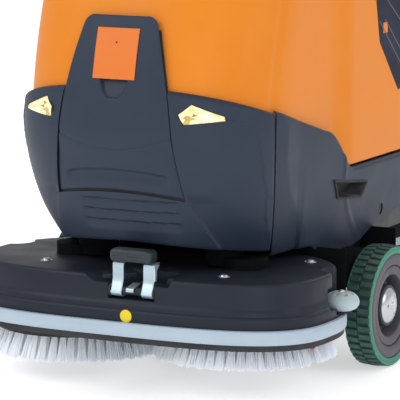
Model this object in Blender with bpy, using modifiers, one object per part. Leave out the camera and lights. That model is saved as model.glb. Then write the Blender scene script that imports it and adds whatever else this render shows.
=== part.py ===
"""Battery floor scrubber-dryer: twin disc deck in front, drive wheels, tanks, rear squeegee.

Metres, +Z up. X = 0 is the machine's centre plane, the front faces -Y and z = 0 is the
floor. The sizes below are measured with y = 0 on the line of the two brush centres, and the
machine empty then moves everything so that the world's origin is under the middle of the
machine's length. Left is +X, as the operator behind the machine sees it. The deck and the
squeegee are in their raised transport position.
"""

import math

import bmesh
import bpy
from mathutils import Matrix, Vector

# Body outline at its widest level
BODY_HALF = 0.288
BODY_FRONT = -0.205
BODY_DEPTH = 0.25
BODY_POWER = 2.5
BODY_WIDE_HALF = BODY_HALF + 0.015
BODY_WIDE_Y = 0.25
BODY_REAR = 0.93
REAR_RADIUS = 0.09
WIDEST_Z = 0.53
TUCK_HEIGHT = 0.25
SIDE_TUCK = 0.046
FRONT_TUCK = 0.0735
REAR_TUCK = 0.02
LEAN_SLOPE = 0.0622
LEAN_CURVE = 0.655

# Covers
COVER_WALL = 0.0035
COVER_TOP_FRONT = 0.614
COVER_TOP_DROP = 0.054
COVER_BOTTOM_FRONT = 0.303
COVER_BOTTOM_RISE = 0.030
SHOULDER = 0.0105
SEAM_TURN = math.radians(73)
SEAM_GAP = math.radians(0.9)
SIDE_TOP_Z = 0.551
SIDE_TOP_SLOPE = 0.303
STEP_START_Y = 0.165
STEP_END_Y = 0.295
LOW_TOP_Z = 0.412
SIDE_BOTTOM_Z = 0.262
TOE_BOTTOM_Z = 0.226
REAR_BOTTOM_Z = 0.285
POCKET_SIZE = (0.14, 0.036)
POCKET_CENTRE = (0.275, 0.366)

# Front panel, its badge and the headlights
PANEL_BOTTOM = 0.397
PANEL_TOP = 0.756
PANEL_KINK_Z = 0.528
PANEL_HALF_BOTTOM = BODY_HALF * 0.4826
PANEL_HALF_KINK = BODY_HALF * 0.4257
PANEL_HALF_TOP = BODY_HALF * 0.2674
PANEL_WALL = 0.007
PANEL_GAP = 0.0025
PANEL_CORNER = 0.03
BADGE_HALF = 0.047
BADGE_LOW = 0.628
BADGE_HIGH = 0.726
BADGE_PROUD = 0.003
LAMP_GAP = 0.0006
LAMP_SHARES = ((0.4826, 0.566), (0.5556, 0.586), (0.7604, 0.562), (0.7674, 0.553), (0.5069, 0.545))
LAMP_OUTLINE = tuple((BODY_HALF * share, z) for share, z in LAMP_SHARES)

# Tanks and lid
TANK_INSET = 0.0145
TANK_WIDE_HALF = BODY_HALF + 0.0005
TANK_STEP_START = 0.215
TANK_STEP_END = 0.30
TANK_BOTTOM = 0.416
TANK_SPLIT = 0.80
TANK_FLOOR = 0.52
TANK_WALL = 0.008
RECOVERY_TOP = 0.975
RECOVERY_REAR = BODY_REAR - 0.23
TANK_JOINT = 0.002
LID_THICK = 0.028
LID_HALF = BODY_HALF - 0.088
LID_FRONT = 0.05
LID_REAR = RECOVERY_REAR - 0.06
CAP_RADIUS = 0.034
CAP_DEPTH = 0.022
CAP_Z = 0.68
FILL_RECESS = (0.06, 0.05, 0.045)

# Brush deck, raised
BRUSH_HALF_SPACING = 0.189
BRUSH_RADIUS = 0.186
BRUSH_TIP_Z = 0.068
BRISTLE_LENGTH = 0.052
BRISTLE_FLARE = 0.016
BRISTLE_INNER = 0.07
PLATE_THICK = 0.016
HANG_RIGHT = 0.021
HUB_RADIUS = 0.028
HUB_TOP_CLEAR = 0.006
WELL_CLEARANCE = 0.008
DECK_FRONT = -0.200
DECK_HALF = 0.3725
DECK_DEPTH = 0.195
DECK_REAR_BEND = 0.18
DECK_POWER = 3.2
DECK_REAR = 0.185
DECK_TOP = 0.243
DECK_BOTTOM = 0.127
LEDGE_TOP = 0.180
LEDGE_OUT = 0.010
DECK_ROOF = 0.008
STRIP_HEIGHT = 0.028
STRIP_THICK = 0.012
SKIRT_DROP = 0.012
DECK_SCREWS = ((0.200, -0.114), (0.281, 0.108))
SCREW_RADIUS = 0.009
SCREW_HEIGHT = 0.005
MOTOR_RADIUS = 0.040
MOTOR_HEIGHT = 0.13
MOTOR_OFFSET = 0.045
GEARBOX_RADIUS = 0.046
GEARBOX_HEIGHT = 0.022
DECK_TRAVEL = 0.0675
ARM_LENGTH = 0.20
ARM_PIVOT_Y = 0.10
ARM_PIVOT_LIFT = max(0.270 - DECK_TOP, 0.020)
ARM_X = 0.125
ARM_WIDTH = 0.012
ROLLER_POINT = (0.373, 0.058)
ROLLER_RADIUS = 0.036
ROLLER_HEIGHT = 0.038
ROLLER_LOW = 0.162

# Foot pedal on the deck's front wall
PEDAL_X = 0.040
PEDAL_HALF = 0.046
PEDAL_PIN_Z = 0.213
PEDAL_PIN_RADIUS = 0.008
PEDAL_TOP_Z = 0.272
STRAP_WIDTH = 0.024
STRAP_THICK = 0.004
PAD_HEIGHT = 0.030
PAD_DEPTH = 0.022

# Drive wheels, casters and chassis
WHEEL_RADIUS = 0.126
WHEEL_WIDTH = 0.058
WHEEL_FACE_X = BODY_WIDE_HALF + 0.073
WHEEL_Y = DECK_REAR + WHEEL_RADIUS
RIM_RADIUS = WHEEL_RADIUS - 0.018
HUB_BOWL = RIM_RADIUS * 0.62
CAP_DOME = RIM_RADIUS * 0.36
CASTER_RADIUS = 0.05
CASTER_WIDTH = 0.032
CASTER_X = BODY_HALF - 0.088
CASTER_Y = BODY_REAR - 0.15
CASTER_TRAIL = 0.035
FRAME_LOW = 0.205
FRAME_HIGH = 0.235
FRAME_HALF = BODY_HALF - 0.053
RAIL_WIDTH = 0.04
BEAM_THICK = 0.012
BATTERY_HEIGHT = 0.255
BATTERY_Y = (0.36, BODY_REAR - 0.17)
BATTERY_HALF = BODY_HALF - 0.048

# Squeegee, modelled level and hung raised on its arm
SQUEEGEE_PIVOT = (BODY_REAR - 0.13, 0.125)
SQUEEGEE_RAISE = math.radians(9)
SQUEEGEE_REACH = 0.235
SQUEEGEE_HALF = 0.41
SQUEEGEE_BOW = 0.07
SQUEEGEE_DEPTH = 0.05
SQUEEGEE_THICK = 0.012
BLADE_DROP = 0.045
BLADE_THICK = 0.006
NECK_RADIUS = 0.024
NECK_TALL = 0.055
NECK_X = 0.075
HOSE_RADIUS = 0.020

# Console and handle
CONSOLE_HALF = BODY_HALF - 0.048
CONSOLE_FRONT = RECOVERY_REAR + 0.004
CONSOLE_REAR = BODY_REAR + 0.03
CONSOLE_LOW = 0.802
CONSOLE_BACK_Z = 0.955
CONSOLE_TOP_Z = 1.035
CONTROL_Y = CONSOLE_FRONT + 0.116
HANDLE_Y = CONSOLE_REAR + 0.11
HANDLE_Z = 0.975
HANDLE_LEG_YS = tuple(CONSOLE_REAR - back for back in (0.18, 0.11, 0.04, -0.02))
HANDLE_RADIUS = 0.014
PADDLE_WALL = 0.004

GAP = 0.0003
SEGMENTS = 24

COLOURS = {
    "anthracite": ((0.045, 0.058, 0.085, 1), 0.42, 0),
    "deck_plastic": ((0.022, 0.028, 0.042, 1), 0.4, 0),
    "orange": ((0.90, 0.33, 0.045, 1), 0.32, 0),
    "badge_orange": ((0.93, 0.22, 0.05, 1), 0.35, 0),
    "lens": ((0.93, 0.86, 0.55, 1), 0.1, 0),
    "grey_strip": ((0.40, 0.50, 0.66, 1), 0.5, 0),
    "roller_grey": ((0.46, 0.57, 0.60, 1), 0.5, 0),
    "black_rubber": ((0.012, 0.012, 0.014, 1), 0.75, 0),
    "bristle": ((0.82, 0.86, 0.93, 1), 0.6, 0),
    "steel": ((0.50, 0.60, 0.66, 1), 0.3, 1),
    "black_steel": ((0.03, 0.03, 0.035, 1), 0.5, 0.6),
    "tyre_green": ((0.03, 0.16, 0.12, 1), 0.7, 0),
    "hub_plastic": ((0.07, 0.065, 0.085, 1), 0.45, 0),
    "battery": ((0.05, 0.05, 0.055, 1), 0.5, 0),
    "glass": ((0.02, 0.03, 0.04, 1), 0.08, 0),
    "red": ((0.7, 0.02, 0.02, 1), 0.35, 0),
    "green": ((0.04, 0.4, 0.1, 1), 0.35, 0),
}


def clear_scene():
    for item in list(bpy.data.objects):
        bpy.data.objects.remove(item, do_unlink=True)


def new_collection(name, hidden=False):
    collection = bpy.data.collections.new(name)
    bpy.context.scene.collection.children.link(collection)
    collection.hide_render = hidden
    return collection


clear_scene()
PARTS = new_collection("floor_scrubber")
CUTTERS = new_collection("cutters", hidden=True)


def machine_origin():
    """An empty that centres the machine's length on the world's origin."""
    front = DECK_FRONT - LEDGE_OUT - GAP - STRIP_THICK
    rear = HANDLE_Y + HANDLE_RADIUS + PADDLE_WALL
    machine = bpy.data.objects.new("machine", None)
    PARTS.objects.link(machine)
    machine.location = (0, -(front + rear) / 2, 0)
    return machine


MACHINE = machine_origin()


def material(name):
    found = bpy.data.materials.get(name)
    if found:
        return found
    colour, roughness, metallic = COLOURS[name]
    made = bpy.data.materials.new(name)
    made.use_nodes = True
    shader = made.node_tree.nodes["Principled BSDF"]
    shader.inputs["Base Color"].default_value = colour
    shader.inputs["Roughness"].default_value = roughness
    shader.inputs["Metallic"].default_value = metallic
    return made


def empty(name, place, turn=0.0):
    """A pivot on a joint's axis; turn tips it about X."""
    pivot = bpy.data.objects.new(name, None)
    PARTS.objects.link(pivot)
    pivot.parent = MACHINE
    pivot.location = place
    pivot.rotation_euler = (turn, 0, 0)
    return pivot


def add(name, shape, look, parent=None, place=(0, 0, 0), smooth=True):
    """A part from a bmesh whose coordinates are measured from the scene's origin."""
    mesh = bpy.data.meshes.new(name)
    origin = Vector(place)
    bmesh.ops.translate(shape, vec=-origin, verts=shape.verts)
    shape.to_mesh(mesh)
    shape.free()
    part = bpy.data.objects.new(name, mesh)
    PARTS.objects.link(part)
    mesh.materials.append(material(look))
    part.parent = parent or MACHINE
    part.location = origin - Vector(parent.location) if parent else origin
    if smooth:
        mesh.shade_smooth()
        mesh.set_sharp_from_angle(angle=math.radians(35))
    return part


def cutter(name, shape):
    mesh = bpy.data.meshes.new(name)
    shape.to_mesh(mesh)
    shape.free()
    tool = bpy.data.objects.new(name, mesh)
    CUTTERS.objects.link(tool)
    tool.parent = MACHINE
    tool.hide_render = True
    tool.display_type = "WIRE"
    return tool


def cut(part, tool, operation="DIFFERENCE"):
    step = part.modifiers.new(tool.name, "BOOLEAN")
    step.object = tool
    step.operation = operation
    step.solver = "EXACT"


def bevel(part, width, segments=2):
    step = part.modifiers.new("rounding", "BEVEL")
    step.width = width
    step.segments = segments
    step.limit_method = "ANGLE"


def box(low, high):
    shape = bmesh.new()
    bmesh.ops.create_cube(shape, size=1)
    size = Vector(high) - Vector(low)
    centre = (Vector(high) + Vector(low)) / 2
    bmesh.ops.transform(
        shape, verts=shape.verts, matrix=Matrix.Translation(centre) @ Matrix.Diagonal((*size, 1))
    )
    return shape


def rod(start, end, radius, far_radius=None, segments=SEGMENTS):
    """A cylinder or cone frustum from start to end."""
    shape = bmesh.new()
    line = Vector(end) - Vector(start)
    bmesh.ops.create_cone(
        shape,
        cap_ends=True,
        segments=segments,
        radius1=radius,
        radius2=radius if far_radius is None else far_radius,
        depth=line.length,
    )
    turn = line.to_track_quat("Z", "Y").to_matrix().to_4x4()
    middle = (Vector(start) + Vector(end)) / 2
    bmesh.ops.transform(shape, verts=shape.verts, matrix=Matrix.Translation(middle) @ turn)
    return shape


def joined(name, look, first, others, parent=None, place=(0, 0, 0)):
    """A part made of several overlapping shapes, joined by Boolean unions."""
    part = add(name, first, look, parent, place)
    for index, shape in enumerate(others):
        cut(part, cutter(f"{name}_join_{index}", shape), "UNION")
    return part


def grid(rows, closed=False, caps=False):
    """A loft through rows of points. Rows run upwards and points run against the clock from above."""
    shape = bmesh.new()
    rings = [[shape.verts.new(point) for point in row] for row in rows]
    count = len(rings[0])
    columns = count if closed else count - 1
    for low, high in zip(rings, rings[1:]):
        for index in range(columns):
            after = (index + 1) % count
            shape.faces.new((low[index], low[after], high[after], high[index]))
    if caps:
        shape.faces.new(list(reversed(rings[0])))
        shape.faces.new(rings[-1])
    return shape


def prism(outline, axis, low, high):
    """A closed outline pushed from low to high along X, Y or Z."""
    shape = bmesh.new()
    turned = {"X": lambda a, b, c: (c, a, b), "Y": lambda a, b, c: (a, c, b), "Z": lambda a, b, c: (a, b, c)}
    ends = []
    for level in (low, high):
        ends.append([shape.verts.new(turned[axis](a, b, level)) for a, b in outline])
    count = len(outline)
    shape.faces.new(ends[0])
    shape.faces.new(ends[1])
    for index in range(count):
        after = (index + 1) % count
        shape.faces.new((ends[0][index], ends[0][after], ends[1][after], ends[1][index]))
    bmesh.ops.recalc_face_normals(shape, faces=shape.faces)
    return shape


def turned(name, look, profile, place, tip=(0, 0, 0), parent=None, steps=SEGMENTS):
    """A profile of (radius, height) points turned round Z, listed down its outer side."""
    mesh = bpy.data.meshes.new(name)
    points = [(radius, 0, height) for radius, height in profile]
    edges = [(index, index + 1) for index in range(len(points) - 1)]
    mesh.from_pydata(points, edges, [])
    part = bpy.data.objects.new(name, mesh)
    PARTS.objects.link(part)
    mesh.materials.append(material(look))
    part.rotation_euler = tip
    part.parent = parent or MACHINE
    part.location = Vector(place) - (Vector(parent.location) if parent else Vector())
    step = part.modifiers.new("turn", "SCREW")
    step.steps = steps
    step.render_steps = steps
    step.use_merge_vertices = True
    step.merge_threshold = 0.00005
    return part


def ring_profile(inner, outer, low, high, edge=0.0):
    """A closed ring section with its outer corners cut by edge."""
    return [
        (inner, high),
        (outer - edge, high),
        (outer, high - edge),
        (outer, low + edge),
        (outer - edge, low),
        (inner, low),
        (inner, high),
    ]


def disc_profile(outer, low, high, edge=0.0):
    return [
        (0, high),
        (outer - edge, high),
        (outer, high - edge),
        (outer, low + edge),
        (outer - edge, low),
        (0, low),
    ]


# ---------------------------------------------------------------- body surface


def tuck(z):
    return (min(z - WIDEST_Z, 0) / TUCK_HEIGHT) ** 2


def front_y(z):
    lean = max(z - WIDEST_Z, 0)
    return BODY_FRONT + FRONT_TUCK * tuck(z) + LEAN_SLOPE * lean + LEAN_CURVE * lean * lean


def corner_point(turn, z, inset=0.0):
    """A point on the rounded front, turn radians from the centre line."""
    half = BODY_HALF - SIDE_TUCK * tuck(z) - inset
    across = math.sin(abs(turn)) ** (2 / BODY_POWER)
    along = max(math.cos(turn), 0.0) ** (2 / BODY_POWER)
    y = front_y(z) + inset + (BODY_DEPTH - inset) * (1 - along)
    return (math.copysign(half * across, turn), y, z)


def front_surface_y(x, z, inset=0.0):
    half = BODY_HALF - SIDE_TUCK * tuck(z) - inset
    share = min(abs(x) / half, 1.0) ** BODY_POWER
    return front_y(z) + inset + (BODY_DEPTH - inset) * (1 - (1 - share) ** (1 / BODY_POWER))


def side_half(y, z):
    start = BODY_FRONT + BODY_DEPTH
    share = min(max((y - start) / (BODY_WIDE_Y - start), 0), 1)
    back = min(max((y - start) / (BODY_REAR - start), 0), 1)
    return BODY_HALF + (BODY_WIDE_HALF - BODY_HALF) * share - SIDE_TUCK * (1 - 0.55 * back) * tuck(z)


def blend(share):
    share = min(max(share, 0), 1)
    return share * share * (3 - 2 * share)


def cover_top(y):
    straight = SIDE_TOP_Z - SIDE_TOP_SLOPE * min(y, STEP_START_Y)
    drop = blend((y - STEP_START_Y) / (STEP_END_Y - STEP_START_Y))
    return straight + (LOW_TOP_Z - straight) * drop


def cover_bottom(y):
    toe = SIDE_BOTTOM_Z + (TOE_BOTTOM_Z - SIDE_BOTTOM_Z) * blend((y - 0.17) / 0.08)
    return toe + (REAR_BOTTOM_Z - TOE_BOTTOM_Z) * blend((y - 0.35) / 0.18)


def shoulder_rows(low, high, count):
    """Heights of a cover's rows with the inward shift of its rounded top shoulder."""
    rows = [(low + (high - SHOULDER - low) * step / count, 0.0) for step in range(count + 1)]
    for angle in (40, 80):
        turn = math.radians(angle)
        rows.append((high - SHOULDER + SHOULDER * math.sin(turn), SHOULDER * (1 - math.cos(turn))))
    return rows


def solidify(part, wall):
    step = part.modifiers.new("wall", "SOLIDIFY")
    step.thickness = wall
    step.offset = -1
    step.use_even_offset = True


def panel_half(z):
    """Half width of the front panel at a height."""
    if z < PANEL_KINK_Z:
        share = (PANEL_KINK_Z - z) / (PANEL_KINK_Z - PANEL_BOTTOM)
        return PANEL_HALF_KINK + (PANEL_HALF_BOTTOM - PANEL_HALF_KINK) * share
    share = (z - PANEL_KINK_Z) / (PANEL_TOP - PANEL_KINK_Z)
    straight = PANEL_HALF_KINK + (PANEL_HALF_TOP - PANEL_HALF_KINK) * share ** 1.35
    corner = max(z - (PANEL_TOP - PANEL_CORNER), 0)
    return straight - PANEL_CORNER + math.sqrt(max(PANEL_CORNER ** 2 - corner ** 2, 0))


def panel_rows():
    lower = [PANEL_BOTTOM + (PANEL_TOP - PANEL_CORNER - PANEL_BOTTOM) * step / 6 for step in range(7)]
    upper = [
        PANEL_TOP - PANEL_CORNER + PANEL_CORNER * math.sin(math.radians(angle)) for angle in (30, 60, 88)
    ]
    return lower + upper


# ---------------------------------------------------------------- covers


def make_front_cover():
    rows = []
    columns = [SEAM_TURN * (step / 12 - 1) for step in range(25)]
    heights = []
    for turn in columns:
        share = abs(turn) / SEAM_TURN
        low = COVER_BOTTOM_FRONT - COVER_BOTTOM_RISE * share ** 1.3
        high = COVER_TOP_FRONT - COVER_TOP_DROP * share ** 1.8
        heights.append(shoulder_rows(low, high, 5))
    for level in range(len(heights[0])):
        rows.append([corner_point(turn, *heights[index][level]) for index, turn in enumerate(columns)])
    cover = add("front_cover", grid(rows), "anthracite")
    solidify(cover, COVER_WALL)
    sides = [(panel_half(z) + PANEL_GAP, z) for z in panel_rows()]
    low = PANEL_BOTTOM - PANEL_GAP - 0.002
    outline = [(-sides[0][0], low), (sides[0][0], low), *sides, *[(-x, z) for x, z in reversed(sides)]]
    cut(cover, cutter("panel_opening", prism(outline, "Y", BODY_FRONT - 0.05, -0.02)))
    for side in (1, -1):
        outline = [(side * x, z) for x, z in LAMP_OUTLINE]
        cut(cover, cutter(f"lamp_opening_{side}", prism(outline, "Y", BODY_FRONT - 0.05, 0.0)))


def make_headlights():
    centre_x = sum(x for x, _ in LAMP_OUTLINE) / len(LAMP_OUTLINE)
    centre_z = sum(z for _, z in LAMP_OUTLINE) / len(LAMP_OUTLINE)
    for name, side in (("left", 1), ("right", -1)):
        turns = [side * math.radians(angle) for angle in range(15, 60, 5)]
        if side < 0:
            turns.reverse()
        rows = [[corner_point(turn, z, 0.001) for turn in turns] for z in (0.53, 0.55, 0.57, 0.60)]
        lens = add(f"headlight_{name}", grid(rows), "lens")
        solidify(lens, 0.009)
        outline = []
        for x, z in LAMP_OUTLINE:
            away = Vector((x - centre_x, z - centre_z))
            away -= away.normalized() * LAMP_GAP * 2
            outline.append((side * (centre_x + away.x), centre_z + away.y))
        cut(lens, cutter(f"lens_outline_{name}", prism(outline, "Y", BODY_FRONT - 0.05, 0.0)), "INTERSECT")


def side_plan(side):
    """(x, y) functions along a side cover, from the front seam round to the rear centre."""
    stations = [("turn", SEAM_TURN + SEAM_GAP), ("turn", math.radians(80)), ("turn", math.radians(90))]
    stations += [
        ("y", y) for y in (0.14, 0.17, 0.20, 0.225, 0.25, 0.275, 0.30, 0.34, 0.40, 0.47, 0.54, 0.66, 0.76)
    ]
    stations += [("y", BODY_REAR - REAR_RADIUS)]
    stations += [("bend", math.radians(angle)) for angle in (22, 45, 68, 90)]
    stations += [("back", 0.1), ("back", 0.002)]
    return stations if side > 0 else stations[::-1]


def side_point(station, side, z, inset):
    kind, value = station
    if kind == "turn":
        x, y, _ = corner_point(value, z, inset)
        return (side * x, y, z)
    if kind == "y":
        return (side * (side_half(value, z) - inset), value, z)
    half = side_half(BODY_REAR - REAR_RADIUS, z) - inset
    rear = BODY_REAR - REAR_TUCK * tuck(z) - inset
    if kind == "bend":
        bend_y = rear - (BODY_REAR - REAR_RADIUS)
        return (side * (half - REAR_RADIUS * (1 - math.cos(value))), rear - bend_y * (1 - math.sin(value)), z)
    return (side * value, rear, z)


def make_side_covers():
    for name, side in (("left", 1), ("right", -1)):
        plan = side_plan(side)
        columns = []
        for station in plan:
            y = side_point(station, side, WIDEST_Z, 0)[1]
            shelf = cover_top(y)
            columns.append(shoulder_rows(cover_bottom(y), shelf, 5))
        rows = []
        for level in range(len(columns[0])):
            rows.append(
                [side_point(station, side, *columns[index][level]) for index, station in enumerate(plan)]
            )
        cover = add(f"side_cover_{name}", grid(rows), "anthracite")
        solidify(cover, COVER_WALL)
        centre_y, centre_z = POCKET_CENTRE
        length, height = POCKET_SIZE
        low = (0.2, centre_y - length / 2, centre_z - height / 2)
        high = (0.4, centre_y + length / 2, centre_z + height / 2)
        hole = box(low, high) if side > 0 else box((-high[0], low[1], low[2]), (-low[0], high[1], high[2]))
        cut(cover, cutter(f"pocket_{name}", hole))


def make_front_panel(pivot):
    rows = []
    for z in panel_rows():
        half = panel_half(z)
        rows.append([(half * step / 5, front_surface_y(half * step / 5, z), z) for step in range(-5, 6)])
    panel = add("front_panel", grid(rows), "anthracite", pivot, pivot.location)
    solidify(panel, PANEL_WALL)
    rows = []
    for step in range(4):
        z = BADGE_LOW + (BADGE_HIGH - BADGE_LOW) * step / 3
        xs = [BADGE_HALF * place / 3 for place in range(-3, 4)]
        rows.append([(x, front_surface_y(x, z) - BADGE_PROUD, z) for x in xs])
    badge = add("panel_badge", grid(rows), "badge_orange", pivot, pivot.location)
    solidify(badge, BADGE_PROUD - GAP)


# ---------------------------------------------------------------- tanks


def tank_half(y):
    return BODY_HALF - TANK_INSET + (TANK_WIDE_HALF - BODY_HALF + TANK_INSET) * blend(
        (y - TANK_STEP_START) / (TANK_STEP_END - TANK_STEP_START)
    )


def tank_ring(z, inset, rear, stations=10):
    """A closed outline of a tank at a height, against the clock from above."""
    half = []
    for step in range(stations + 1):
        turn = math.radians(90) * step / stations
        half.append(corner_point(turn, z, TANK_INSET + inset)[:2])
    for y in (0.20, 0.235, 0.255, 0.275, 0.31, rear - REAR_RADIUS):
        half.append((tank_half(max(y, half[-1][1])) - inset, max(y, half[-1][1] + 0.001)))
    width = half[-1][0]
    for angle in (22, 45, 68, 90):
        turn = math.radians(angle)
        radius = REAR_RADIUS - inset
        half.append((width - radius * (1 - math.cos(turn)), rear - REAR_RADIUS + radius * math.sin(turn)))
    back = [(-x, y) for x, y in reversed(half[1:])]
    return [(x, y, z) for x, y in half + back]


def levels(low, high, count):
    return [low + (high - low) * step / count for step in range(count + 1)]


def make_solution_tank():
    rows = [tank_ring(z, 0, BODY_REAR - 0.01) for z in levels(TANK_BOTTOM, TANK_SPLIT, 4)]
    tank = add("solution_tank", grid(rows, closed=True, caps=True), "orange")
    rows = [tank_ring(z, TANK_WALL, BODY_REAR - 0.01) for z in levels(TANK_FLOOR, TANK_SPLIT + 0.01, 3)]
    cut(tank, cutter("water_space", grid(rows, closed=True, caps=True)))
    rows = [tank_ring(z, TANK_WALL, BODY_REAR - 0.01) for z in (TANK_BOTTOM - 0.02, TANK_FLOOR - 0.02)]
    cut(tank, cutter("battery_space", grid(rows, closed=True, caps=True)))
    half, tall, deep = FILL_RECESS
    wall_y = front_surface_y(0, CAP_Z, TANK_INSET)
    low = (-half - TANK_WALL, wall_y, CAP_Z - tall - TANK_WALL)
    high = (half + TANK_WALL, wall_y + deep + TANK_WALL, CAP_Z + tall + TANK_WALL)
    face = [(front_surface_y(0, z, TANK_INSET) + 0.004, z) for z in (low[2], high[2])]
    tub = prism([face[0], (high[1], low[2]), (high[1], high[2]), face[1]], "X", low[0], high[0])
    cut(tank, cutter("fill_tub", tub), "UNION")
    recess = box((-half, wall_y - 0.05, CAP_Z - tall), (half, wall_y + deep, CAP_Z + tall))
    cut(tank, cutter("fill_recess", recess))


def fill_floor_y():
    return front_surface_y(0, CAP_Z, TANK_INSET) + FILL_RECESS[2]


def make_filler_cap(pivot):
    profile = disc_profile(CAP_RADIUS, 0, CAP_DEPTH, 0.003)
    place = (0, fill_floor_y() - GAP, CAP_Z)
    turned("filler_cap", "black_rubber", profile, place, (math.radians(90), 0, 0), pivot, 32)


def make_recovery_tank():
    base = TANK_SPLIT + TANK_JOINT
    heights = levels(base, RECOVERY_TOP - 0.03, 3) + [
        RECOVERY_TOP - 0.012, RECOVERY_TOP - 0.003, RECOVERY_TOP
    ]
    insets = [0] * 4 + [0.005, 0.014, 0.024]
    rows = [tank_ring(z, inset, RECOVERY_REAR) for z, inset in zip(heights, insets)]
    tank = add("recovery_tank", grid(rows, closed=True, caps=True), "orange")
    low = (-LID_HALF + 0.02, LID_FRONT + 0.02, base + TANK_WALL)
    high = (LID_HALF - 0.02, LID_REAR - 0.02, RECOVERY_TOP + 0.02)
    cut(tank, cutter("dirty_water_space", box(low, high)))


def make_tank_lid(pivot):
    low = RECOVERY_TOP + GAP * 4
    lid = add("tank_lid", box((-LID_HALF, LID_FRONT, low), (LID_HALF, LID_REAR, low + LID_THICK)), "anthracite", pivot)
    lid.data.transform(Matrix.Translation(-Vector(pivot.location)))
    lid.location = (0, 0, 0)
    bevel(lid, 0.012, 3)


# ---------------------------------------------------------------- brush deck


def deck_ring(z, out, rear, stations=12):
    """A closed outline of the brush deck, out metres outside its upper wall."""
    half = []
    for step in range(stations + 1):
        turn = math.radians(90) * step / stations
        across = math.sin(turn) ** (2 / DECK_POWER)
        along = max(math.cos(turn), 0) ** (2 / DECK_POWER)
        half.append(((DECK_HALF + out) * across, DECK_FRONT - out + (DECK_DEPTH + out) * (1 - along)))
    start_y = half[-1][1]
    for angle in (15, 30, 45, 60, 75, 90):
        turn = math.radians(angle)
        x = DECK_HALF + out - DECK_REAR_BEND * (1 - math.cos(turn))
        half.append((x, start_y + (rear - start_y) * math.sin(turn)))
    back = [(-x, y) for x, y in reversed(half[1:])]
    return [(x, y, z) for x, y in half + back]


def deck_wells():
    wells = []
    for side in (1, -1):
        x = side * BRUSH_HALF_SPACING
        wide = BRUSH_RADIUS - BRISTLE_FLARE + WELL_CLEARANCE
        wells.append(
            rod((x, 0, DECK_BOTTOM - 0.05), (x, 0, LEDGE_TOP - DECK_ROOF - 0.004), wide, segments=32)
        )
        wells.append(rod((x, 0, DECK_BOTTOM - 0.05), (x, 0, DECK_TOP - DECK_ROOF), wide - 0.026, segments=28))
        hole = HUB_RADIUS + 0.004
        wells.append(rod((x, 0, DECK_BOTTOM - 0.05), (x, 0, DECK_TOP + 0.02), hole, segments=24))
    return wells


def make_deck(pivot):
    lower = [deck_ring(z, LEDGE_OUT, DECK_REAR) for z in (DECK_BOTTOM, LEDGE_TOP - 0.004)]
    lower.append(deck_ring(LEDGE_TOP, LEDGE_OUT - 0.004, DECK_REAR))
    upper = [deck_ring(z, 0, DECK_REAR - 0.01) for z in (LEDGE_TOP - 0.01, DECK_TOP - 0.006)]
    upper.append(deck_ring(DECK_TOP, -0.006, DECK_REAR - 0.016))
    shapes = (grid(lower, True, True), [grid(upper, True, True)])
    deck = joined("deck_housing", "deck_plastic", *shapes, pivot, pivot.location)
    for index, shape in enumerate(deck_wells()):
        cut(deck, cutter(f"deck_well_{index}", shape))
    notch_high = ROLLER_LOW + ROLLER_HEIGHT + 0.05
    for side in (1, -1):
        x = side * ROLLER_POINT[0]
        notch = rod(
            (x, ROLLER_POINT[1], ROLLER_LOW - 0.004), (x, ROLLER_POINT[1], notch_high), ROLLER_RADIUS + 0.004
        )
        cut(deck, cutter(f"roller_notch_{side}", notch))
        pin_x = side * ARM_X
        ear = box(
            (pin_x - 0.02, ARM_PIVOT_Y - 0.014, DECK_TOP - 0.004),
            (pin_x - 0.0075, ARM_PIVOT_Y + 0.014, DECK_TOP + ARM_PIVOT_LIFT + 0.012),
        )
        cut(deck, cutter(f"arm_ear_{side}", ear), "UNION")
    pocket = box(
        (PEDAL_X - PEDAL_HALF - 0.006, DECK_FRONT - 0.02, PEDAL_PIN_Z - 0.016),
        (PEDAL_X + PEDAL_HALF + 0.006, DECK_FRONT + 0.040, DECK_TOP + 0.02),
    )
    cut(deck, cutter("pedal_pocket", pocket))
    return deck


def band(name, look, pivot, low, high, inner_out, outer_out, start):
    """A strip that follows the deck's front and sides, from side to side."""
    def arc(z, out):
        ring = deck_ring(z, out, DECK_REAR)
        half = [point for point in ring[: len(ring) // 2 + 1]][: start + 1]
        return [(-x, y, z) for x, y, z in reversed(half[1:])] + half

    rows = [arc(low, inner_out), arc(low, outer_out), arc(high, outer_out), arc(high, inner_out)]
    shape = bmesh.new()
    rings = [[shape.verts.new(point) for point in row] for row in rows]
    count = len(rings[0])
    for index in range(4):
        low_ring = rings[index]
        high_ring = rings[(index + 1) % 4]
        for column in range(count - 1):
            shape.faces.new(
                (low_ring[column], low_ring[column + 1], high_ring[column + 1], high_ring[column])
            )
    shape.faces.new([ring[0] for ring in rings])
    shape.faces.new([ring[-1] for ring in rings])
    bmesh.ops.recalc_face_normals(shape, faces=shape.faces)
    return add(name, shape, look, pivot, pivot.location)


def make_deck_trim(pivot):
    outer = LEDGE_OUT + GAP
    low = DECK_BOTTOM
    strip = band("deck_bumper", "grey_strip", pivot, low, low + STRIP_HEIGHT, outer, outer + STRIP_THICK, 15)
    bevel(strip, 0.003, 1)
    skirt_out = LEDGE_OUT + STRIP_THICK * 0.5
    low = DECK_BOTTOM - SKIRT_DROP
    band("splash_skirt", "black_rubber", pivot, low, DECK_BOTTOM - GAP, skirt_out - 0.006, skirt_out, 15)


def make_deck_screws(pivot):
    number = 0
    for side in (1, -1):
        for x, y in DECK_SCREWS:
            number += 1
            place = (side * x, y, DECK_TOP + GAP)
            profile = disc_profile(SCREW_RADIUS, 0, SCREW_HEIGHT, 0.0015)
            turned(f"deck_screw_{number}", "black_steel", profile, place, parent=pivot, steps=16)


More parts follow.
